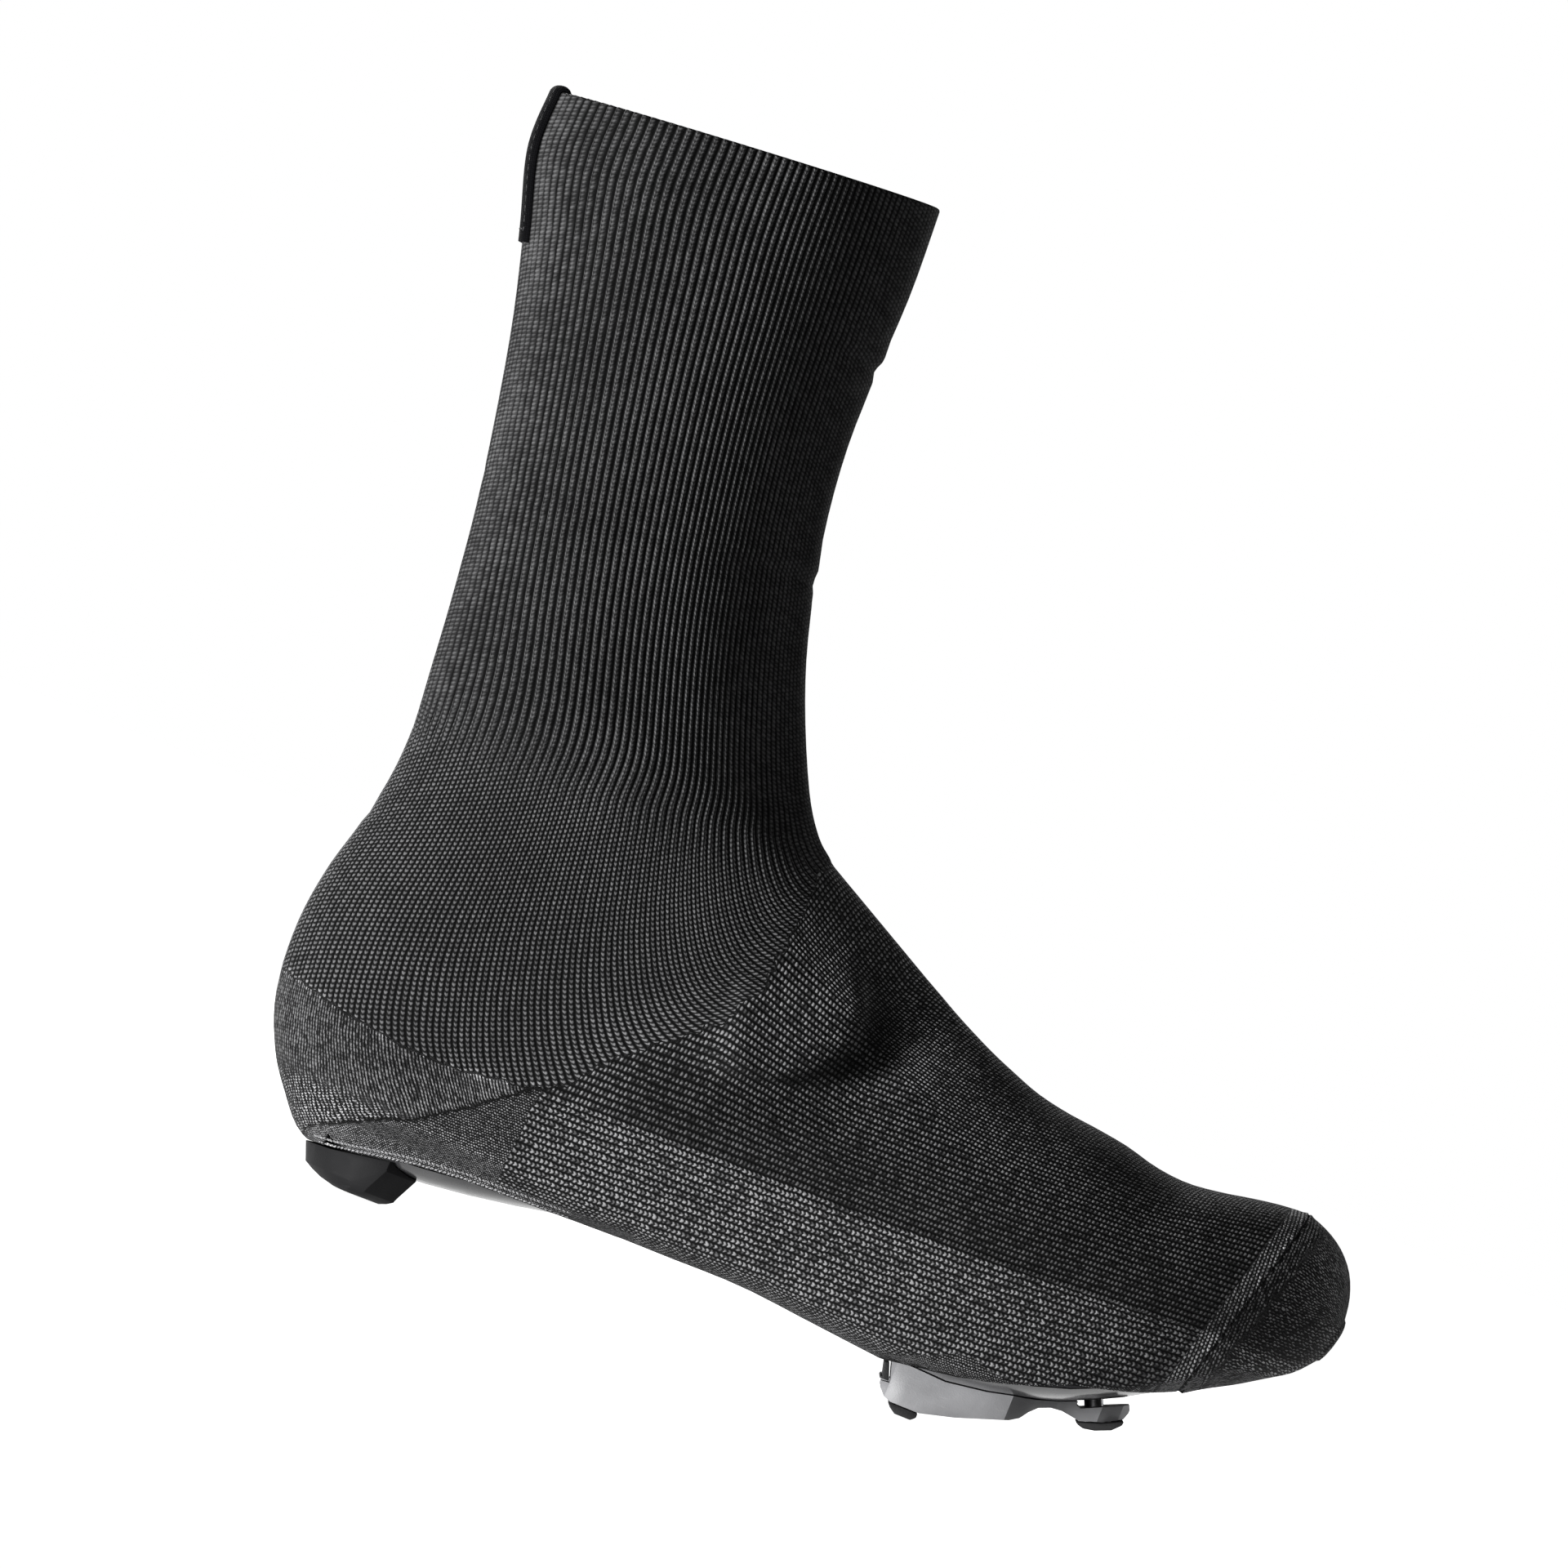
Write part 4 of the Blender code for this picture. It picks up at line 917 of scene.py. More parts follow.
@dataclass(frozen=True)
class KnitFinish:
    """Charcoal yarn, knitted in ribs, with finer panels and an open net along the sole."""

    name: str = "charcoal_knit"
    # Painted shade in the grooves; lighter yarn flecks with painted highlights on the stitch crests
    groove: Colour = (0.0012, 0.0012, 0.0013)
    yarn: Colour = (0.034, 0.034, 0.035)
    fleck_and_highlight: Colour = (0.36, 0.36, 0.366)
    relief: float = 0.0005

    @staticmethod
    def stitches(board: NodeBoard, zones: KnitZones, place: object) -> tuple[object, object, object]:
        """Lays each kind of stitch in its own zone.

        Args:
            board: Board of the material's nodes.
            zones: Where each kind lies.
            place: Socket with the place of each point.

        Returns:
            Sockets of the stitches' height, of how lit they are and of a chance for each.
        """
        knit = Effects.stitches()
        wale, course, on_foot = zones.wale, zones.course, zones.on_foot
        in_panel, in_toe = zones.in_panel, zones.in_toe
        loose = board.less(board.noise(place, 420.0, 2.0), 0.5)
        ribs = board.group(
            knit,
            Wale=wale,
            Course=board.fused(wale, board.mix(on_foot, 0.0, 0.3), course),
            Slant=board.mix(on_foot, 1.3, 0.25),
            Split=board.mix(on_foot, 0.3, 0.0),
            Join=board.mix(on_foot, 0.72, 0.15),
            Fill=board.mix(on_foot, 0.6, 0.45),
            Stagger=board.mix(on_foot, 0.618, 0.0),
        )
        net = board.group(
            knit,
            Wale=board.fused(loose, 0.55, board.times(wale, 1.2)),
            Course=board.fused(loose, 0.9, board.times(course, 0.86)),
            Slant=0.8, Join=0.2, Fill=0.75, Stagger=0.35,
        )
        fine_wale = board.times(wale, board.mix(in_panel, 2.0, 4.0))
        fine_course = board.times(course, board.mix(in_panel, 0.86, 1.1))
        fine = board.group(
            knit,
            Wale=board.mix(zones.by_seam, fine_wale, board.times(course, 1.15)),
            Course=board.mix(zones.by_seam, fine_course, board.times(wale, 1.6)),
            Slant=board.mix(in_panel, 0.7, 0.5),
            Join=board.mix(in_panel, 0.3, 0.7),
            Fill=0.35,
            Stagger=board.mix(in_panel, 0.618, 0.0),
        )
        plain = board.group(
            knit,
            Wale=board.fused(loose, 1.4, board.times(wale, board.mix(in_toe, 3.0, 1.7))),
            Course=board.fused(loose, 1.4, board.times(course, board.mix(in_toe, 1.5, 1.0))),
            Slant=1.0, Join=0.2, Fill=0.2, Stagger=0.5,
        )
        height, lit, chance = ribs.outputs[:3]
        over = ((net, zones.in_net, 0.9), (fine, zones.fine, 0.75), (plain, zones.plain, 0.42))
        for kind, share, flat in over:
            height = board.mix(share, height, board.times(kind.outputs[0], flat))
            lit = board.mix(share, lit, kind.outputs[1])
            chance = board.mix(share, chance, kind.outputs[2])
        return height, lit, chance

    @staticmethod
    def tone(board: NodeBoard, zones: KnitZones, place: object) -> object:
        """How light each zone is, with the lines between them, and the painted shade and light on some zones.

        Args:
            board: Board of the material's nodes.
            zones: Where each kind of knit lies.
            place: Socket with the place of each point.

        Returns:
            Socket of the factor on the yarn's colour.
        """
        along, shelf = board.parts(place)[0], zones.shelf
        above = board.times(board.less(zones.outside, zones.in_net), board.step(along, -0.05, -0.03))
        # Painted light on the top of the instep
        instep = board.times(above, board.step(along, 0.008, 0.035), board.step(shelf, 36.0, 52.0))
        dots = board.step(board.math("FRACT", board.times(zones.course, 0.5)), 0.2, 0.45)
        gusset_line = board.step(board.math("ABSOLUTE", zones.mitre), 1.0, 0.35)
        gains = (
            (zones.in_net, 1.15),
            # Painted shade over the upper foot, deepest just above the shelf and gone higher up
            (above, board.step(shelf, 4.0, 36.0, 0.4, 1.0)),
            # Painted light on the top of the instep
            (instep, 1.7),
            (zones.in_panel, 1.1),
            (zones.low_heel, 1.5),
            (zones.at_ankle, board.step(zones.mitre, -18.0, -2.0, 0.6, 0.92)),
            (zones.in_band, 3.6),
            (zones.in_toe, 1.7),
            (zones.in_hem, 1.1),
            # Darker yarn on the shaft's ribs, with painted shade towards the front of the outer side
            (zones.ribbed, board.step(zones.wale, 3.0, 28.0, 0.27, 0.46)),
            # Painted shade beside the ankle's lobe
            (zones.hollow, 0.3),
            (board.times(gusset_line, zones.low, dots), 0.2),
            (board.step(board.math("ABSOLUTE", zones.toe), 0.55, 0.2), 0.2),
            (zones.on_brim, 1.9),
        )
        return board.times(*(board.mix(share, 1.0, gain) for share, gain in gains))

    def material(self) -> Material:
        """Builds the finish.

        Returns:
            The material.
        """
        material, board, shader = new_material(self.name)
        place = board.place()
        zones = KnitZones(board, place)
        height, lit, chance = self.stitches(board, zones, place)
        uneven = board.mix(zones.on_foot, board.mix(zones.in_panel, 0.25, 0.9), 0.8)
        uneven = board.mix(zones.in_toe, board.mix(zones.in_net, uneven, 0.7), 1.5)
        lit = board.times(lit, board.fused(board.less(chance, 0.5), uneven, 0.97))
        lit = board.times(lit, board.fused(board.noise(place, 38.0, 3.0), 0.4, 0.8))
        # Painted shade where the stitches are least lit, painted highlight where they are most lit
        colour = board.blend(board.step(lit, 0.0, 0.6), self.groove, self.yarn)
        colour = board.blend(board.step(lit, 0.5, 1.25), colour, self.fleck_and_highlight)
        tone = self.tone(board, zones, place)
        tint = board.fed("ShaderNodeCombineColor", {0: tone, 1: tone, 2: tone}).outputs[0]
        board.feed(shader.inputs["Base Color"], board.blend(1.0, colour, tint, "MULTIPLY"))
        board.feed(shader.inputs["Roughness"], board.step(lit, 0.0, 1.0, 0.95, 0.72))
        shader.inputs["Specular IOR Level"].default_value = 0.22
        hair = board.noise(place, 3800.0, 3.0, 0.7)
        bump_into(board, shader, board.fused(hair, 0.16, height), self.relief, 0.9)
        return material


@dataclass(frozen=True)
class TapeFinish:
    """Black woven tape: a close twill across the strip."""

    name: str = "black_tape"
    thread: Colour = (0.0025, 0.0025, 0.003)
    light: Colour = (0.008, 0.008, 0.009)

    def material(self) -> Material:
        """Builds the finish.

        Returns:
            The material.
        """
        material, board, shader = new_material(self.name)
        wale, course = board.map_at("wales")
        place = board.place()
        twill = board.group(Effects.stitches(), Wale=wale, Course=course, Slant=0.5)
        lit = board.times(twill.outputs["Lit"], board.fused(twill.outputs["Chance"], 0.4, 0.7))
        board.feed(shader.inputs["Base Color"], board.blend(lit, self.thread, self.light))
        board.feed(shader.inputs["Roughness"], board.step(board.noise(place, 90.0), 0.3, 0.7, 0.8, 0.92))
        shader.inputs["Specular IOR Level"].default_value = 0.02
        bump_into(board, shader, twill.outputs["Height"], 0.00012, 0.8)
        return material


@dataclass(frozen=True)
class ThreadFinish:
    """Twisted sewing thread."""

    name: str
    shade: Colour
    light: Colour
    twist: float = 780.0

    def material(self) -> Material:
        """Builds the finish.

        Returns:
            The material.
        """
        material, board, shader = new_material(self.name)
        inputs = {"Vector": board.place(), "Scale": self.twist, "Distortion": 1.5}
        ply = board.fed("ShaderNodeTexWave", inputs, wave_type="BANDS", bands_direction="DIAGONAL")
        ply = ply.outputs["Fac"]
        board.feed(shader.inputs["Base Color"], board.blend(ply, self.shade, self.light))
        board.feed(shader.inputs["Roughness"], board.step(ply, 0.0, 1.0, 0.85, 0.65))
        bump_into(board, shader, ply, 0.00008, 0.7)
        return material


@dataclass(frozen=True)
class MouldedFinish:
    """Moulded rubber, plastic or foam with fine grain, drifting tone and worn scuffs."""

    name: str
    body: Colour
    worn: Colour
    rough: tuple[float, float]
    grain: float = 2400.0
    relief: float = 0.00006
    scuff: float = 0.5
    coat: float = 0.0
    shine: float = 0.5

    def material(self) -> Material:
        """Builds the finish.

        Returns:
            The material.
        """
        material, board, shader = new_material(self.name)
        place = board.place()
        skin = board.group(Effects.grain(), Place=place, Grain=self.grain, Scuff=self.scuff)
        deep = tuple(0.72 * part for part in self.body)
        colour = board.blend(board.step(skin.outputs["Drift"], 0.3, 0.7), deep, self.body)
        board.feed(shader.inputs["Base Color"], board.blend(skin.outputs["Wear"], colour, self.worn))
        board.feed(shader.inputs["Roughness"], board.step(skin.outputs["Drift"], 0.3, 0.75, *self.rough))
        shader.inputs["Specular IOR Level"].default_value = self.shine
        if self.coat:
            shader.inputs["Coat Weight"].default_value = self.coat
            shader.inputs["Coat Roughness"].default_value = 0.12
        bump_into(board, shader, skin.outputs["Height"], self.relief, 0.6)
        return material


@dataclass(frozen=True)
class SteelFinish:
    """Turned steel with fine brushed lines and a little dirt."""

    name: str = "bolt_steel"
    bright: Colour = (0.52, 0.52, 0.53)
    dull: Colour = (0.2, 0.2, 0.21)

    def material(self) -> Material:
        """Builds the finish.

        Returns:
            The material.
        """
        material, board, shader = new_material(self.name)
        place = board.place()
        skin = board.group(Effects.grain(), Place=place, Grain=3200.0, Scuff=1.0)
        board.feed(shader.inputs["Base Color"], board.blend(skin.outputs["Drift"], self.bright, self.dull))
        shader.inputs["Metallic"].default_value = 1.0
        board.feed(shader.inputs["Roughness"], board.step(skin.outputs["Wear"], 0.0, 1.0, 0.3, 0.5))
        bump_into(board, shader, skin.outputs["Height"], 0.00003, 0.5)
        return material


@dataclass(frozen=True)
class FloorFinish:
    """A plain pale studio floor."""

    name: str = "pale_floor"
    shade: Colour = (0.86, 0.86, 0.86)
    glow: float = 0.97

    def material(self) -> Material:
        """Builds the finish.

        Returns:
            The material.
        """
        material, board, shader = new_material(self.name)
        place = board.place()
        light = tuple(min(1.0, 1.03 * part) for part in self.shade)
        board.feed(shader.inputs["Base Color"], board.blend(board.noise(place, 6.0), self.shade, light))
        shader.inputs["Roughness"].default_value = 0.9
        shader.inputs["Specular IOR Level"].default_value = 0.0
        shader.inputs["Emission Color"].default_value = (1.0, 1.0, 1.0, 1.0)
        path = board.add("ShaderNodeLightPath").outputs
        ray = board.most(path["Is Camera Ray"], board.times(path["Is Glossy Ray"], 0.6))
        away = board.fed("ShaderNodeVectorMath", {0: place}, operation="LENGTH")
        glow = board.step(away.outputs["Value"], 0.15, 0.9, self.glow, 1.0)
        board.feed(shader.inputs["Emission Strength"], board.times(glow, ray))
        return material


def put(name: str, data: ID) -> Object:
    """Puts a new object with its data in the scene."""
    item = bpy.data.objects.new(name, data)
    bpy.context.scene.collection.objects.link(item)
    return item


def shade_smooth(item: Object, smooth: bool = True) -> None:
    """Shades all faces of a piece smoothly, or flat."""
    item.data.polygons.foreach_set("use_smooth", np.full(len(item.data.polygons), smooth))


def mesh_object(name: str, points: Array, faces: list, material: Material, smooth: bool = True) -> Object:
    """A new mesh object in the scene.

    Args:
        name: Name of the piece.
        points: Its points, in metres in the frame.
        faces: Corners of each face.
        material: Its finish.
        smooth: Whether its faces shade smoothly.

    Returns:
        The object.
    """
    mesh = bpy.data.meshes.new(name)
    mesh.from_pydata(np.asarray(points).tolist(), [], faces)
    mesh.materials.append(material)
    item = put(name, mesh)
    shade_smooth(item, smooth)
    mesh.update()
    return item


def settle(item: Object) -> None:
    """Turns an object's modifiers into plain mesh.

    Args:
        item: The object, which keeps its name and place.
    """
    graph = bpy.context.evaluated_depsgraph_get()
    graph.update()
    shown = item.evaluated_get(graph)
    made = bpy.data.meshes.new_from_object(shown, preserve_all_data_layers=True, depsgraph=graph)
    item.modifiers.clear()
    old, item.data = item.data, made
    bpy.data.meshes.remove(old)


def carry(item: Object, slot: str, *nodes: str) -> None:
    """Rides a finished piece on the shoe, hides the CAD nodes that it replaces and logs its faces.

    Args:
        item: The piece.
        slot: Not used.
        *nodes: CAD nodes that it replaces.
    """
    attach(item, BODY)
    if nodes:
        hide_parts(*nodes)
    LOG.info("%s: %d faces", item.name, len(item.data.polygons))


@dataclass
class KnitUpper:
    """The knitted wall: ribbed outside, plain inside, rolled at the collar, cut underneath.

    Attributes:
        last: The form it follows.
        wales: The run of its wales.
        half_columns: Mesh columns of each half.
        shaft_wales: Wales of each half on the shaft.
        course: Height of a course on the shaft, in millimetres.
        foot_course: Length of a stitch on the foot.
        rib_rise: Half height of a rib on the shaft.
        ankle_rise: Half height of a wale at the ankle.
        ankle_fade: Share of the ribs lost at the ankle.
        flat_fade: Share of the ribs lost on the flat kinds of knit.
        seam_ridge: Height of the toe seam's ridge, and its breadth in rows.
        seam_groove: Depth of the groove in it, and its breadth.
        every: Fine columns to each coarse column inside.
        rim_steps: Steps of the rolled rim.
        toe_row: Length of a row of the last at the toe seam, in millimetres.
        rows_on: Row numbers of the mesh on the last.
        skin: Points of the finished outer face.
        out: Outward directions there.
    """

    last: Last
    wales: WaleField
    half_columns: int = 240
    shaft_wales: int = 60
    course: float = 1.12
    foot_course: float = 1.1
    rib_rise: float = 0.66
    ankle_rise: float = 0.2
    ankle_fade: float = 0.75
    flat_fade: float = 0.85
    seam_ridge: tuple[float, float] = (0.55, 0.16)
    seam_groove: tuple[float, float] = (0.75, 0.045)
    every: int = 8
    rim_steps: int = 5
    toe_row: float = 8.2
    rows_on: Array = field(init=False)
    skin: Array = field(init=False)
    out: Array = field(init=False)

    def __post_init__(self) -> None:
        """Lays out the rows, closer together at the heel and the toe seam."""
        beside = np.array([0.05, 0.09, 0.14, 0.22, 0.34])
        self.rows_on = np.sort(
            np.concatenate(
                [
                    np.linspace(0.0, 7.0, 27)[:-1],
                    2.0 + np.array([-0.18, -0.1, -0.03, 0.03, 0.1]),
                    4.55 + np.array([-0.18, -0.1, -0.02, 0.06, 0.14, 0.2]),
                    np.linspace(7.0, 16.0, 43)[:-1],
                    np.linspace(16.0, 20.6, 45)[:-1],
                    np.linspace(20.6, 30.5, 28),
                    TOE_SEAM_ROW + np.concatenate([-beside, [0.0], beside]),
                    np.linspace(31.5, LAST_ROW, 14),
                ]
            )
        )

    def half_grid(self, side: Side) -> tuple[Array, Array, Array]:
        """The wall's points where each column follows a wale.

        Args:
            side: Which half.

        Returns:
            Points by row and column in millimetres, each one's distance into the foot, and the
            foot's row of stitches that it lies on.
        """
        lines, plain = (self.last.half_lines(self.rows_on, side, 200, folds) for folds in (FOLDS, ()))
        wale, mitre = self.wales.share(plain, self.rows_on)
        rows = self.wales.rows(plain)
        wanted = np.linspace(0.0, 1.0, self.half_columns + 1)
        count = len(self.rows_on)
        grid = np.empty((count, len(wanted), 3))
        beyond, along = np.empty((2, count, len(wanted)))
        for row in range(count):
            for axis in range(3):
                grid[row, :, axis] = np.interp(wanted, wale[row], lines[row, :, axis])
            beyond[row] = np.interp(wanted, wale[row], mitre[row])
            along[row] = np.interp(wanted, wale[row], rows[row])
        return grid, beyond, along

    @staticmethod
    def ring(outer: Array, inner: Array) -> Array:
        """Joins two halves into closed rows, down the outer half and back up the inner one."""
        return np.concatenate([outer, inner[:, -2:0:-1]], axis=1)

    @staticmethod
    def normals(grid: Array) -> Array:
        """Outward directions of a closed grid.

        Args:
            grid: Points by row and column.

        Returns:
            Unit vectors by row and column.
        """
        along = np.gradient(grid, axis=0)
        around = np.roll(grid, -1, axis=1) - np.roll(grid, 1, axis=1)
        out = np.cross(around, along)
        out /= np.maximum(np.linalg.norm(out, axis=2, keepdims=True), 1e-9)
        middle = grid.mean(axis=1, keepdims=True)
        turn = np.sign(np.sum(out * (grid - middle), axis=2).mean())
        return out * turn

    def round_toe(self, grid: Array, *values: Array) -> list[Array]:
        """Adds a few rows that close the toe in a dome.

        Args:
            grid: Points by row and column.
            *values: Other values of each point.

        Returns:
            All of them with the dome's rows added.
        """
        heart = grid[-1].mean(axis=0)
        dome = [
            heart + (grid[-1] - heart) * math.cos(turn) + (TOE_TIP - heart) * math.sin(turn)
            for turn in np.radians((24.0, 46.0, 66.0))
        ]
        self.rows_on = np.concatenate([self.rows_on, LAST_ROW + np.array([0.3, 0.6, 0.8])])
        longer = [np.concatenate([value, np.repeat(value[-1:], len(dome), axis=0)]) for value in values]
        return [np.concatenate([grid, dome]), *longer]

    def fields(self, grid: Array) -> dict[str, Array]:
        """Distances that part the kinds of knit from each other, in millimetres.

        Args:
            grid: Points by row and column, in millimetres.

        Returns:
            By name: into the heel panel (under 0), over the shelf along the foot, beyond the
            toe seam, away from the nearest hem, and the share of the painted shade beside the lobe.
        """
        x, y, z = grid[..., 0], grid[..., 1], grid[..., 2]
        rows = np.broadcast_to(self.rows_on[:, None], x.shape)
        sole = self.last.sole_height(np.clip(x, 36.0, 287.0))
        panel = np.maximum(z - on_line(HEEL_BRIM, x), x - on_line(PANEL_FRONT, z))
        power = CLEAT_OPENING.squareness
        plan = np.abs((x - CLEAT_OPENING.middle) / CLEAT_OPENING.half_length) ** power
        plan = (plan + np.abs((y - CLEAT_OPENING.shift) / CLEAT_OPENING.half_width) ** power) ** (1.0 / power)
        cleat = np.maximum((plan - 1.0) * 40.0, z - (sole + CLEAT_OPENING.top(x)))
        heel = np.maximum(z - on_line(HEEL_HEM, x), x - HEEL_HEM[-1][0])
        return {
            "panel": panel,
            "shelf": z - on_line(SHELF, x),
            "toe": self.toe_row * (rows - TOE_SEAM_ROW),
            "hem": np.minimum(cleat, heel + 1.2),
            # Painted shade beside the ankle's lobe, on the outer side only
            "hollow": np.maximum.reduce([fold.push(x, z) for fold in PAINTED_SHADE_SPOTS]) * smooth_step(0.0, -5.0, y),
        }

    def build(self, material: Material) -> Object:
        """Makes the piece.

        Args:
            material: The knit's finish.

        Returns:
            The finished piece.
        """
        halves = {side: self.half_grid(side) for side in Side}
        pairs = zip(halves[Side.OUTER], halves[Side.INNER])
        grid, mitre, rows = self.round_toe(*(self.ring(*pair) for pair in pairs))
        around = grid.shape[1]
        out = self.normals(grid)
        fields = {"mitre": mitre, **self.fields(grid)}
        foot = smooth_step(-1.5, 1.5, mitre)
        panel = smooth_step(0.6, -0.6, fields["panel"])
        ankle = smooth_step(92.0, 64.0, fields["shelf"])
        at_toe, at_hem = smooth_step(-9.5, -8.5, fields["toe"]), smooth_step(4.0, 3.2, fields["hem"])
        flat = np.maximum.reduce([panel, at_toe, at_hem])
        wave = 2 * math.pi * self.shaft_wales * np.arange(around) / self.half_columns
        ribs = -np.cos(wave)[None] * self.rib_rise * (1 - foot) * (1 - self.ankle_fade * ankle)
        ribs = ribs - np.cos(2 * wave)[None] * self.ankle_rise * (1 - foot) * ankle
        wrinkles = sum(fold.push(grid[..., 0], grid[..., 2]) for fold in WRINKLES)
        ribs = ribs * (1 - self.flat_fade * flat) + wrinkles
        seam = (self.rows_on - TOE_SEAM_ROW)[:, None]
        lift, sunk = (
            high * np.exp(-((seam / wide) ** 2)) for high, wide in (self.seam_ridge, self.seam_groove)
        )
        ridge = lift - sunk
        skin = grid + out * (ribs + ridge)[..., None]

        steps = np.linalg.norm(np.diff(grid, axis=0), axis=2)
        run = np.concatenate([np.zeros((1, around)), np.cumsum(steps, axis=0)]) / self.course
        return self.assemble(grid, skin, out, run, rows, fields, material)

    def assemble(
        self,
        grid: Array,
        skin: Array,
        out: Array,
        run: Array,
        rows: Array,
        fields: dict[str, Array],
        material: Material,
    ) -> Object:
        """Joins the ribbed skin, the rolled rim and the plain inside into one closed wall.

        Args:
            grid: Smooth outer points by row and column.
            skin: Ribbed outer points.
            out: Outward directions.
            run: Courses from the collar.
            rows: Rows of stitches on the foot.
            fields: Distances that part the kinds of knit.
            material: The knit's finish.

        Returns:
            The finished piece.
        """
        count, around = grid.shape[:2]
        up = grid[0] - grid[1]
        up /= np.linalg.norm(up, axis=1, keepdims=True)
        heart, rise = grid[0] - out[0] * 0.5 * WALL, skin[0] - grid[0]
        rim = []
        for step in range(1, self.rim_steps + 1):
            turn = math.pi * step / self.rim_steps
            rib = rise * (0.5 + 0.5 * math.cos(turn))
            rim.append(heart + 0.5 * WALL * (out[0] * math.cos(turn) + up * math.sin(turn)) + rib)
        coarse = np.arange(0, around, self.every)
        picked = np.unique(np.concatenate([np.arange(1, count, 3), [count - 1]]))
        lining = (grid - out * WALL)[picked][:, coarse]

        points = [skin.reshape(-1, 3), np.concatenate(rim), lining.reshape(-1, 3)]
        starts = np.cumsum([0] + [len(block) for block in points])
        tips = np.array([TOE_TIP, (TOE_TIP[0] - WALL, TOE_TIP[1], TOE_TIP[2])])
        points = np.concatenate([*points, tips])
        tip_out, tip_in = len(points) - 2, len(points) - 1

        many = len(coarse)

        def skin_at(row: int, column: int) -> int:
            """Number of a point of the outer skin."""
            return row * around + column % around

        def rim_at(step: int, column: int) -> int:
            """Number of a point of the rolled rim, which starts on the skin."""
            return skin_at(0, column) if step == 0 else starts[1] + skin_at(step - 1, column)

        def lining_at(row: int, column: int) -> int:
            """Number of a point of the plain inside."""
            return starts[2] + row * many + column % many

        def quad(row: int, column: int) -> tuple[tuple[int, int], ...]:
            """Row and column of a face's corners."""
            return (row, column), (row, column + 1), (row + 1, column + 1), (row + 1, column)

        faces: list[tuple[int, ...]] = []
        marks: list[list[tuple[float, float, float, float]]] = []
        lengths = grid[..., 0] / self.foot_course
        far = TOE_TIP[0] / self.foot_course
        for row in range(count - 1):
            for column in range(around):
                first, second, third, fourth = quad(row, column)
                corners = (first, fourth, third, second)
                faces.append(tuple(skin_at(*corner) for corner in corners))
                spots = [(k, at, k % around) for at, k in corners]
                marks.append([(wale, run[at, k], rows[at, k], lengths[at, k]) for wale, at, k in spots])
        for column in range(around):
            faces.append((skin_at(count - 1, column), tip_out, skin_at(count - 1, column + 1)))
            ends = (column, column + 1)
            near, beside = ((k, run[-1, column], rows[-1, k % around], lengths[-1, column]) for k in ends)
            marks.append([near, (*near[:3], far), beside])
        for step in range(self.rim_steps):
            for column in range(around):
                corners = quad(step, column)
                faces.append(tuple(rim_at(*corner) for corner in corners))
                marks.append([(k, -0.5 * at, 0.0, 0.0) for at, k in corners])
        for column in range(many):
            first = column * self.every
            edge = [first + i for i in range(self.every + 1)]
            rolled = [rim_at(self.rim_steps, k) for k in edge]
            faces.append((*rolled, lining_at(0, column + 1), lining_at(0, column)))
            inner = [(first + self.every, -6.0, 0.0, 0.0), (first, -6.0, 0.0, 0.0)]
            marks.append([*((k, -0.5 * self.rim_steps, 0.0, 0.0) for k in edge), *inner])
        for row in range(len(picked) - 1):
            for column in range(many):
                corners = quad(row, column)
                faces.append(tuple(lining_at(*corner) for corner in corners))
                depth = [-run[picked[at], coarse[column]] for at, _ in corners]
                marks.append([(k * self.every, v, 0.0, 0.0) for (_, k), v in zip(corners, depth)])
        end = len(picked) - 1
        for column in range(many):
            faces.append((lining_at(end, column), lining_at(end, column + 1), tip_in))
            marks.append([(0.0, 0.0, 0.0, 0.0)] * 3)

        self.skin, self.out = skin, out
        item = mesh_object("knitted_upper", self.last.to_frame(points), faces, material)
        self.mark(item, marks, fields)
        # The faces are laid out as seen from inside the wall
        item.data.flip_normals()
        self.cut(item)
        return item

    def mark(self, item: Object, marks: list[list[tuple]], fields: dict[str, Array]) -> None:
        """Writes the two wale maps and the knit's fields on the mesh.

        Args:
            item: The piece.
            marks: Column, course, row of the foot and place along it of each face's corners.
            fields: Distances by name, on the outer grid, whose points come first.
        """
        flat = np.array([corner for face in marks for corner in face], np.float32)
        flat[:, 0] *= self.shaft_wales / self.half_columns
        for name, columns in (("wales", flat[:, :2]), ("rows", flat[:, 2:])):
            layer = item.data.uv_layers.new(name=name)
            layer.data.foreach_set("uv", columns.ravel())
        for name, values in fields.items():
            whole = np.full(len(item.data.vertices), PLAIN_FIELDS[name], np.float32)
            whole[: values.size] = values.reshape(-1)
            attribute = item.data.attributes.new(name, "FLOAT", "POINT")
            attribute.data.foreach_set("value", whole)

    def cut(self, item: Object) -> None:
        """Opens the wall under the heel and round the cleat.

        Args:
            item: The closed wall.
        """
        cutters = [*self.heel_cutters(), self.cleat_cutter()]
        heel, plan, through, cleat = cutters
        trim = heel.modifiers.new("plan", "BOOLEAN")
        trim.operation, trim.object, trim.solver = "INTERSECT", plan, "EXACT"
        for cutter in (heel, through, cleat):
            opening = item.modifiers.new("opening", "BOOLEAN")
            opening.operation, opening.object, opening.solver = "DIFFERENCE", cutter, "EXACT"
        settle(item)
        for cutter in cutters:
            mesh = cutter.data
            bpy.data.objects.remove(cutter)
            bpy.data.meshes.remove(mesh)

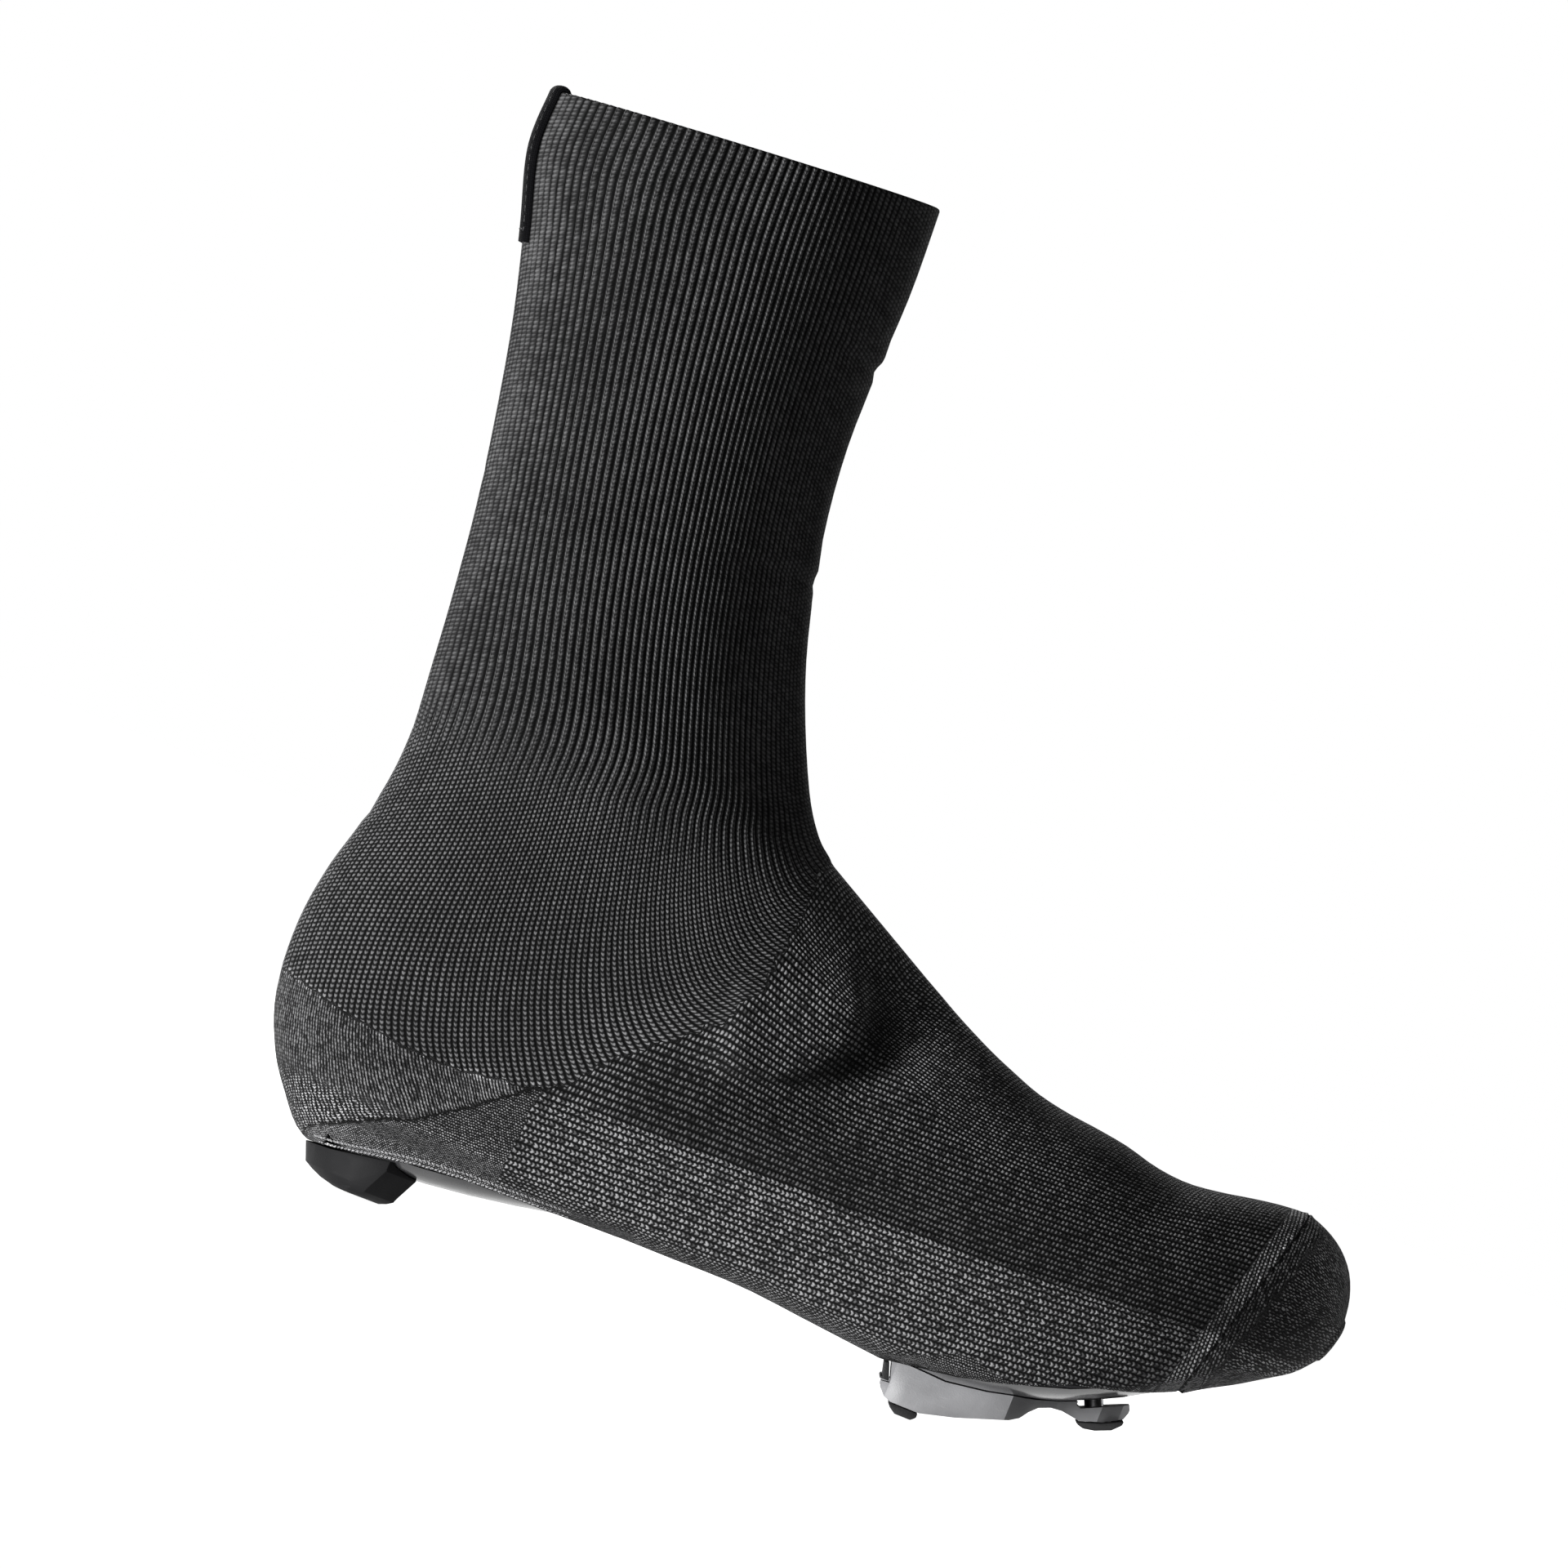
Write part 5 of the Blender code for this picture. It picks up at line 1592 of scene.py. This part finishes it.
    def prism(self, name: str, ends: tuple[Array, Array]) -> Object:
        """A closed form between two outlines of the same length.

        Args:
            name: Name of the form.
            ends: Points of the two outlines, in millimetres.

        Returns:
            The form.
        """
        mesh = bmesh.new()
        rings = [[mesh.verts.new(point) for point in self.last.to_frame(end)] for end in ends]
        size = len(rings[0])
        for i in range(size):
            k = (i + 1) % size
            mesh.faces.new((rings[0][i], rings[0][k], rings[1][k], rings[1][i]))
        for one in rings:
            mesh.faces.new(one)
        bmesh.ops.recalc_face_normals(mesh, faces=mesh.faces)
        data = bpy.data.meshes.new(name)
        mesh.to_mesh(data)
        mesh.free()
        form = put(name, data)
        form.hide_render = True
        return form

    def heel_cutters(self) -> list[Object]:
        """The forms that open the knit under the heel.

        Returns:
            Everything below the hem, the plan of the opening, and its middle through the wall.
        """
        back, front, below, aside, corner = HEEL_HEM[0][0], HEEL_HEM[-1][0], -6.0, 70.0, 12.0
        hem = np.array([*HEEL_HEM, (front, below), (back, below)])
        sides = tuple(np.insert(hem, 1, y, axis=1) for y in (-aside, aside))
        forms = [self.prism("heel_hem_form", sides)]
        turn = np.linspace(math.pi / 2, -math.pi / 2, 33)
        plans = (("heel_plan_form", 107.0, 46.0, back, 40.0), ("heel_through_form", 105.5, 26.0, 28.0, 31.0))
        for name, end, half, rear, high in plans:
            arc = np.stack([end - corner * (1 - np.cos(turn)), half * np.sin(turn)], axis=1)
            plan = np.concatenate([[(rear, half)], arc, [(rear, -half)]])
            forms.append(self.prism(name, tuple(np.insert(plan, 2, z, axis=1) for z in (2 * below, high))))
        return forms

    def cleat_cutter(self) -> Object:
        """The form that opens the knit round the cleat.

        Returns:
            An oval from the floor to just above the sole line.
        """
        opening = CLEAT_OPENING
        turn = np.linspace(0.0, 2 * math.pi, 96, endpoint=False)
        cos, sin, power = np.cos(turn), np.sin(turn), 2.0 / opening.squareness
        x = opening.middle + opening.half_length * np.copysign(np.abs(cos) ** power, cos)
        y = opening.shift + opening.half_width * np.copysign(np.abs(sin) ** power, sin)
        low = np.column_stack([x, y, np.full(len(x), -6.0)])
        high = np.column_stack([x, y, self.last.sole_height(x) + opening.top(x)])
        return self.prism("cleat_form", (low, high))


def refined(node: str, name: str, material: Material, bevel: float) -> Object:
    """A copy of a hard CAD node with its edges rounded.

    Args:
        node: The CAD node.
        name: Name of the new piece.
        material: Its finish.
        bevel: Breadth of the rounded edges, in millimetres; 0 leaves them sharp.

    Returns:
        The piece, in the node's own place.
    """
    mesh = bmesh.new()
    mesh.from_mesh(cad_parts[node].data)
    bmesh.ops.remove_doubles(mesh, verts=mesh.verts, dist=2e-6)
    bmesh.ops.dissolve_limit(mesh, angle_limit=math.radians(1.0), verts=mesh.verts, edges=mesh.edges)
    data = bpy.data.meshes.new(name)
    mesh.to_mesh(data)
    mesh.free()
    for spare in [a.name for a in data.attributes if a.name == "custom_normal"]:
        data.attributes.remove(data.attributes[spare])
    data.materials.clear()
    data.materials.append(material)
    item = put(name, data)
    if bevel:
        edge = item.modifiers.new("edge", "BEVEL")
        edge.width, edge.segments = bevel * MM, 2
        edge.limit_method, edge.angle_limit = "ANGLE", math.radians(24.0)
        settle(item)
    shade_smooth(item)
    item.data.set_sharp_from_angle(angle=math.radians(32.0))
    return item


@dataclass
class PullTab:
    """The tape at the back of the collar, folded over the rim on both faces.

    Attributes:
        last: The form under it.
        half_width: Half its breadth, in millimetres.
        foot: Height where it ends.
        thick: Its thickness in the middle.
        columns: Mesh columns across it.
        threads: Threads of the weave on each side of its middle.
        pick: Length of a stitch of the weave.
        front: Points of its outer face.
        out: Outward directions there.
    """

    last: Last
    half_width: float = 13.0
    foot: float = 244.0
    thick: float = 1.4
    columns: int = 20
    threads: float = 16.0
    pick: float = 0.55
    front: Array = field(init=False)
    out: Array = field(init=False)

    def wall(self) -> tuple[Array, Array]:
        """The back of the collar, from the tape's foot to the rim.

        Returns:
            Points by row and column, and outward directions.
        """
        rows_on = np.linspace(2.2, 0.0, 46)
        across = np.linspace(-self.half_width, self.half_width, self.columns + 1)
        lines = {side: self.last.half_lines(rows_on, side, 300) for side in Side}
        points = np.empty((len(rows_on), len(across), 3))
        for row in range(len(rows_on)):
            for column, y in enumerate(across):
                line = lines[Side.INNER if y > 0 else Side.OUTER][row][300:][::-1]
                beside = np.abs(line[:, 1])
                x, z = (np.interp(abs(y), beside, line[:, axis]) for axis in (0, 2))
                points[row, column] = (x, y, z)
        out = np.cross(np.gradient(points, axis=0), np.gradient(points, axis=1))
        out /= np.linalg.norm(out, axis=2, keepdims=True)
        return points, out * np.sign(-out[..., 0].mean())

    def build(self, material: Material) -> Object:
        """Makes the piece.

        Args:
            material: The tape's finish.

        Returns:
            The finished piece.
        """
        wall, out = self.wall()
        keep = wall[:, self.columns // 2, 2] >= self.foot
        wall, out = wall[keep], out[keep]
        edge = np.linspace(-1.0, 1.0, self.columns + 1)
        thick = (self.thick * (1.0 - 0.5 * np.abs(edge) ** 10))[None, :, None]
        up = wall[-1] - wall[-2]
        up /= np.linalg.norm(up, axis=1, keepdims=True)
        heart = wall[-1] - out[-1] * 0.5 * WALL
        rim_turn = np.linspace(0.0, math.pi, 13)[1:-1]
        bend = np.array([out[-1] * math.cos(t) + up * math.sin(t) for t in rim_turn])
        seat = np.array([heart] * len(bend))
        inside = (wall - out * WALL)[::-1]
        base = np.concatenate([wall, seat + bend * 0.5 * WALL, inside])
        away = np.concatenate([out, bend, -out[::-1]])
        self.front, self.out = base + away * (GAP + thick), away
        rear = base + away * GAP
        rows, columns = base.shape[:2]
        points = np.concatenate([self.front.reshape(-1, 3), rear.reshape(-1, 3)])
        half = rows * columns
        faces, marks = [], []
        steps = np.linalg.norm(np.diff(self.front[:, columns // 2], axis=0), axis=1)
        run = np.concatenate([[0.0], np.cumsum(steps)])
        for row in range(rows - 1):
            for column in range(columns - 1):
                a = row * columns + column
                face = (a, a + 1, a + columns + 1, a + columns)
                faces += [face, tuple(i + half for i in face[::-1])]
                u, v = edge[column : column + 2] * self.threads
                low, high = run[row : row + 2] / self.pick
                corners = [(u, low), (v, low), (v, high), (u, high)]
                marks += [corners, corners[::-1]]
        ring = [row * columns for row in range(rows)]
        ring += [(rows - 1) * columns + column for column in range(1, columns)]
        ring += [row * columns + columns - 1 for row in range(rows - 2, -1, -1)]
        ring += [column for column in range(columns - 2, 0, -1)]
        for a, b in zip(ring, ring[1:] + ring[:1]):
            faces.append((a, b, b + half, a + half))
            marks.append([(0.2, 0.2), (0.2, 0.8), (0.8, 0.8), (0.8, 0.2)])
        item = mesh_object("pull_tab_tape", self.last.to_frame(points), faces, material)
        layer = item.data.uv_layers.new(name="wales")
        layer.data.foreach_set("uv", np.array([c for m in marks for c in m], np.float32).ravel())
        mesh = bmesh.new()
        mesh.from_mesh(item.data)
        bmesh.ops.recalc_face_normals(mesh, faces=mesh.faces)
        mesh.to_mesh(item.data)
        mesh.free()
        item.data.set_sharp_from_angle(angle=math.radians(50.0))
        return item

    def stitch_path(self) -> tuple[Array, Array]:
        """The line of stitches round the tape's outer face.

        Returns:
            Points in the frame, and outward directions.
        """
        inset, low = 2, 3
        high = int(0.9 * np.argmax(self.front[:, self.columns // 2, 2]))
        right = self.columns - inset
        order = [(row, inset) for row in range(high, low, -1)]
        order += [(low, column) for column in range(inset, right + 1)]
        order += [(row, right) for row in range(low + 1, high)]
        rows, columns = zip(*order)
        return self.last.to_frame(self.front[rows, columns]), self.out[rows, columns]


@dataclass(frozen=True)
class StitchRun:
    """A line of sewn stitches, laid out by Geometry Nodes.

    Attributes:
        name: Name of the piece.
        pitch: Length from stitch to stitch, in millimetres.
        length: Length of a stitch.
        breadth: Its breadth.
        height: Its height.
        lean: Angle across the line, in degrees.
        sink: How deep it lies in the cloth.
        wobble: Random turn, in degrees.
        seed: Seed of the random turn.
    """

    name: str
    pitch: float
    length: float
    breadth: float
    height: float
    lean: float
    sink: float = 0.1
    wobble: float = 6.0
    seed: int = 3

    def tree(self, material: Material) -> NodeTree:
        """Builds the node tree.

        Args:
            material: Finish of the thread.

        Returns:
            The tree.
        """
        tree = bpy.data.node_groups.new(f"{self.name}_layout", "GeometryNodeTree")
        tree.interface.new_socket("Geometry", in_out="INPUT", socket_type="NodeSocketGeometry")
        for label in ("Pitch", "Length", "Breadth", "Height", "Lean", "Sink", "Wobble"):
            tree.interface.new_socket(label, in_out="INPUT", socket_type="NodeSocketFloat")
        tree.interface.new_socket("Seed", in_out="INPUT", socket_type="NodeSocketInt")
        tree.interface.new_socket("Geometry", in_out="OUTPUT", socket_type="NodeSocketGeometry")
        board = NodeBoard(tree)
        given, sink = board.add("NodeGroupInput").outputs, board.add("NodeGroupOutput")
        curve = board.fed("GeometryNodeMeshToCurve", {0: given["Geometry"]}).outputs[0]
        inputs = {"Curve": curve, "Length": given["Pitch"]}
        spaced = board.fed("GeometryNodeResampleCurve", inputs, mode="LENGTH").outputs[0]
        shape = board.fed("GeometryNodeMeshUVSphere", {"Segments": 8, "Rings": 5, "Radius": 0.5}).outputs[0]
        inputs = {0: given["Length"], 1: given["Breadth"], 2: given["Height"]}
        size = board.fed("ShaderNodeCombineXYZ", inputs).outputs[0]
        out = board.fed("GeometryNodeInputNamedAttribute", {"Name": "out"}, data_type="FLOAT_VECTOR")
        out = out.outputs["Attribute"]
        upright = board.fed("FunctionNodeAlignRotationToVector", {"Vector": out}, axis="Z").outputs[0]
        inputs = {"Rotation": upright, "Vector": board.add("GeometryNodeInputTangent").outputs[0]}
        along = board.fed("FunctionNodeAlignRotationToVector", inputs, axis="X", pivot_axis="Z").outputs[0]
        wobble = given["Wobble"]
        inputs = {2: board.times(wobble, -1.0), 3: wobble, "Seed": given["Seed"]}
        chance = board.fed("FunctionNodeRandomValue", inputs, data_type="FLOAT").outputs[1]
        inputs = {"Axis": (0.0, 0.0, 1.0), "Angle": board.math("ADD", given["Lean"], chance)}
        turn = board.fed("FunctionNodeAxisAngleToRotation", inputs).outputs[0]
        inputs = {"Rotation": along, "Rotate By": turn}
        turned = board.fed("FunctionNodeRotateRotation", inputs, rotation_space="LOCAL").outputs[0]
        inputs = {0: out, "Scale": board.times(given["Sink"], -1.0)}
        lower = board.fed("ShaderNodeVectorMath", inputs, operation="SCALE").outputs[0]
        seated = board.fed("GeometryNodeSetPosition", {"Geometry": spaced, "Offset": lower}).outputs[0]
        inputs = {"Points": seated, "Instance": shape, "Rotation": turned, "Scale": size}
        placed = board.fed("GeometryNodeInstanceOnPoints", inputs).outputs[0]
        real = board.fed("GeometryNodeRealizeInstances", {0: placed}).outputs[0]
        dressed = board.fed("GeometryNodeSetMaterial", {"Geometry": real, "Material": material}).outputs[0]
        board.feed(sink.inputs[0], dressed)
        return tree

    def build(self, points: Array, out: Array, material: Material) -> Object:
        """Lays the stitches along a line.

        Args:
            points: The line, in metres in the frame.
            out: Outward directions of what it lies on.
            material: Finish of the thread.

        Returns:
            The finished piece.
        """
        mesh = bpy.data.meshes.new(self.name)
        edges = [(i, i + 1) for i in range(len(points) - 1)]
        mesh.from_pydata(np.asarray(points).tolist(), edges, [])
        layer = mesh.attributes.new("out", "FLOAT_VECTOR", "POINT")
        layer.data.foreach_set("vector", np.asarray(out, np.float32).ravel())
        item = put(self.name, mesh)
        tree = self.tree(material)
        layout = item.modifiers.new("layout", "NODES")
        layout.node_group = tree
        lengths = ("pitch", "length", "breadth", "height", "sink")
        values = {label.capitalize(): getattr(self, label) * MM for label in lengths}
        values |= {label.capitalize(): math.radians(getattr(self, label)) for label in ("lean", "wobble")}
        values["Seed"] = self.seed
        for socket in tree.interface.items_tree:
            if socket.in_out == "INPUT" and socket.name in values:
                layout[socket.identifier] = values[socket.name]
        settle(item)
        shade_smooth(item)
        return item


@dataclass
class Hems:
    """The stitches along the knit's edges and its toe seam.

    Attributes:
        upper: The knit that they hold.
        beside: Least distance of a side from the middle of the shoe, in millimetres.
        nearest: Points of the knit that place a stitch.
        seam_foot: Height where the stitches of the toe seam end.
        heel_run: Where the hem's stitches start and end along the shoe.
    """

    upper: KnitUpper
    beside: float = 12.0
    nearest: int = 8
    seam_foot: float = 36.4
    heel_run: tuple[float, float] = (25.0, 93.0)

    def on_side(self, x: Array, z: Array, side: Side) -> tuple[Array, Array]:
        """Points of the knit's outer face at places of the side view.

        Args:
            x: Places along the shoe, in millimetres.
            z: Heights.
            side: Which half.

        Returns:
            Points in the frame, and outward directions.
        """
        skin, out = self.upper.skin.reshape(-1, 3), self.upper.out.reshape(-1, 3)
        half = skin[:, 1] * side.value > self.beside
        skin, out = skin[half], out[half]
        points, ways = [], []
        for at_x, at_z in zip(x, z):
            gap = np.hypot(skin[:, 0] - at_x, skin[:, 2] - at_z)
            near = np.argsort(gap)[: self.nearest]
            share = 1.0 / (gap[near] + 0.2)
            share /= share.sum()
            points.append((at_x, share @ skin[near, 1], at_z))
            ways.append(share @ out[near])
        ways = np.array(ways)
        return self.upper.last.to_frame(points), ways / np.linalg.norm(ways, axis=1, keepdims=True)

    def heel_line(self, side: Side, over: float) -> tuple[Array, Array]:
        """A line along the hem under the heel on one side, some millimetres over its edge."""
        x = np.linspace(*self.heel_run, 63)
        return self.on_side(x, on_line(HEEL_HEM, x) + over, side)

    def seam_line(self) -> tuple[Array, Array]:
        """The toe seam, all the way round.

        Returns:
            Points in the frame, and outward directions.
        """
        row = int(np.argmin(np.abs(self.upper.rows_on - TOE_SEAM_ROW)))
        line, out = self.upper.skin[row], self.upper.out[row]
        start = len(line) // 2
        line, out = np.roll(line, -start, axis=0), np.roll(out, -start, axis=0)
        clear = line[:, 2] > self.seam_foot
        return self.upper.last.to_frame(line[clear]), out[clear]

    def build(self, hem_thread: Material, seam_thread: Material) -> list[Object]:
        """Makes the stitches.

        Args:
            hem_thread: Finish of the thread at the hem.
            seam_thread: Finish of the thread at the toe seam.

        Returns:
            The finished pieces.
        """
        made = []
        for side in Side:
            for row, over, lean in (("low", 0.5, 24.0), ("high", 1.7, -24.0)):
                name = f"heel_hem_{row}_stitches_{side.name.lower()}"
                run = StitchRun(name, pitch=1.15, length=1.3, breadth=0.6, height=0.55, lean=lean, sink=0.0)
                made.append(run.build(*self.heel_line(side, over), hem_thread))
        seam = StitchRun(
            "toe_seam_stitches", pitch=1.15, length=1.25, breadth=0.5, height=0.45, lean=72.0, sink=-0.1
        )
        made.append(seam.build(*self.seam_line(), seam_thread))
        return made


@dataclass
class Underfoot:
    """The plate, insole, heel pad, cleat and bolts, each a copy of its node, all but the plate with rounded
    edges.
    """

    plate: MouldedFinish = MouldedFinish(
        "carbon_plate", (0.07, 0.07, 0.073), (0.2, 0.2, 0.2), (0.16, 0.3),
        grain=900.0, relief=0.00002, scuff=0.25, coat=0.6,
    )
    foam: MouldedFinish = MouldedFinish(
        "insole_foam", (0.05, 0.05, 0.055), (0.09, 0.09, 0.09), (0.85, 0.95),
        grain=1500.0, relief=0.0002, scuff=0.3,
    )
    rubber: MouldedFinish = MouldedFinish(
        "pad_rubber", (0.009, 0.009, 0.01), (0.02, 0.02, 0.02), (0.66, 0.8),
        grain=2600.0, relief=0.00005, scuff=0.35, shine=0.25,
    )
    shell: MouldedFinish = MouldedFinish(
        "cleat_grey", (0.34, 0.34, 0.352), (0.4, 0.4, 0.41), (0.42, 0.56),
        grain=2600.0, relief=0.00004, scuff=0.4,
    )
    trim: MouldedFinish = MouldedFinish(
        "cleat_rubber", (0.012, 0.012, 0.013), (0.05, 0.05, 0.05), (0.55, 0.7),
        grain=2200.0, relief=0.00008, scuff=0.4,
    )
    steel: SteelFinish = SteelFinish()

    def build(self) -> list[tuple[Object, str, str]]:
        """Makes the pieces.

        Returns:
            Each piece with its material slot and the node that it stands for.
        """
        trim, steel = self.trim.material(), self.steel.material()
        plan = [
            ("sole_plate", "plate", self.plate.material(), 0.0),
            ("insole", "insole", self.foam.material(), 0.5),
            ("heel_pad", "pad", self.rubber.material(), 0.7),
            ("cleat_body", "cleat", self.shell.material(), 0.45),
            ("cleat_pad_outer", "trim", trim, 0.35),
            ("cleat_pad_inner", "trim", trim, 0.35),
            ("cleat_pad_nose", "trim", trim, 0.3),
            ("cleat_tail", "trim", trim, 0.15),
        ]
        for name in ("bolt_outer", "bolt_inner", "bolt_front"):
            plan += [(name, "steel", steel, 0.2), (f"{name}_washer", "steel", steel, 0.15)]
        made = []
        for node, slot, finish, bevel in plan:
            made.append((refined(node, f"{node}_finished", finish, bevel), slot, node))
        return made


@dataclass(frozen=True)
class Studio:
    """The floor, the soft lights and the camera, turned as the shoe lies in the picture.

    Attributes:
        middle: Middle of the picture on the last, in millimetres.
        roll: Turn of the camera, in degrees.
        width: Breadth of the picture at the shoe, in millimetres.
        lens: Focal length.
        sensor: Breadth of the film.
        reach: Half the side of the floor, in metres.
        under: How far the floor lies below the shoe.
    """

    middle: tuple[float, float] = (103.1, 139.8)
    roll: float = 22.0
    width: float = 405.7
    lens: float = 600.0
    sensor: float = 36.0
    reach: float = 12.0
    under: float = 0.0005

    def camera(self, last: Last) -> None:
        """Makes the camera.

        Args:
            last: The form that the picture was measured on.
        """
        data = bpy.data.cameras.new("camera")
        data.lens, data.sensor_width = self.lens, self.sensor
        data.clip_start, data.clip_end = 0.05, 60.0
        away = self.width * MM * self.lens / self.sensor
        centre = Vector(last.to_frame((self.middle[0], 0.0, self.middle[1])))
        turn = math.radians(self.roll)
        right = Vector((math.cos(turn), 0.0, math.sin(turn)))
        upward = Vector((-math.sin(turn), 0.0, math.cos(turn)))
        pose = Matrix((right, upward, Vector((0.0, -1.0, 0.0)))).transposed().to_4x4()
        pose.translation = centre + Vector((0.0, -away, 0.0))
        item = put("camera", data)
        item.matrix_world = pose
        bpy.context.scene.camera = item

    @staticmethod
    def soft_box(name: str, place: tuple, aim: tuple, size: float, power: float) -> None:
        """A square soft light.

        Args:
            name: Name of the light.
            place: Where it stands, in metres.
            aim: Where it points.
            size: Length of its side.
            power: Watts.
        """
        data = bpy.data.lights.new(name, "AREA")
        data.size, data.energy = size, power
        item = put(name, data)
        item.location = place
        item.rotation_mode = "QUATERNION"
        item.rotation_quaternion = (Vector(aim) - Vector(place)).to_track_quat("-Z", "Y")

    def build(self, last: Last) -> None:
        """Sets up the floor, lights, surroundings and camera.

        Args:
            last: The form that the picture was measured on.
        """
        sides = ((-1, -1), (1, -1), (1, 1), (-1, 1))
        corners = np.array([(self.reach * x, self.reach * y, -self.under) for x, y in sides])
        floor = mesh_object("studio_floor", corners, [(0, 1, 2, 3)], FloorFinish().material(), False)
        floor.visible_shadow = False
        self.soft_box("key", (-1.85, -1.45, -0.5), (0.0, 0.0, 0.12), 0.7, 78.0)
        self.soft_box("front", (-0.2, -2.6, -0.2), (0.0, 0.0, 0.08), 0.6, 9.0)
        self.soft_box("back", (-0.9, 2.2, 0.9), (0.0, 0.0, 0.12), 1.2, 40.0)
        self.soft_box("toe", (2.2, 1.8, 0.9), (0.0, 0.0, 0.1), 1.0, 14.0)
        world = bpy.data.worlds.new("studio")
        world.use_nodes = True
        board = NodeBoard(world.node_tree)
        shown = world.node_tree.nodes["Background"]
        shown.inputs["Color"].default_value = (1.0, 1.0, 1.0, 1.0)
        ray = board.add("ShaderNodeLightPath").outputs["Is Camera Ray"]
        board.feed(shown.inputs["Strength"], board.mix(ray, 0.035, 1.0))
        bpy.context.scene.world = world
        bpy.context.scene.view_settings.view_transform = "Standard"
        self.camera(last)


def main() -> None:
    """Builds every piece and reports it."""
    logging.basicConfig(level=logging.INFO, format="%(message)s")
    last = Last()
    Studio().build(last)
    knit = KnitFinish().material()
    upper = KnitUpper(last, WaleField(last))
    carry(upper.build(knit), "knit", "knit_upper")
    tab = PullTab(last)
    carry(tab.build(TapeFinish().material()), "tape", "pull_tab")
    black = ThreadFinish("black_thread", (0.012, 0.012, 0.013), (0.04, 0.04, 0.042)).material()
    grey = ThreadFinish("grey_thread", (0.2, 0.2, 0.205), (0.5, 0.5, 0.51)).material()
    box_stitch = StitchRun(
        "pull_tab_stitches", pitch=2.6, length=2.1, breadth=0.5, height=0.4, lean=0.0, sink=0.05
    )
    carry(box_stitch.build(*tab.stitch_path(), black), "tape")
    for piece in Hems(upper).build(grey, black):
        carry(piece, "knit")
    for piece, slot, node in Underfoot().build():
        carry(piece, slot, node)


if __name__ == "__main__":
    main()
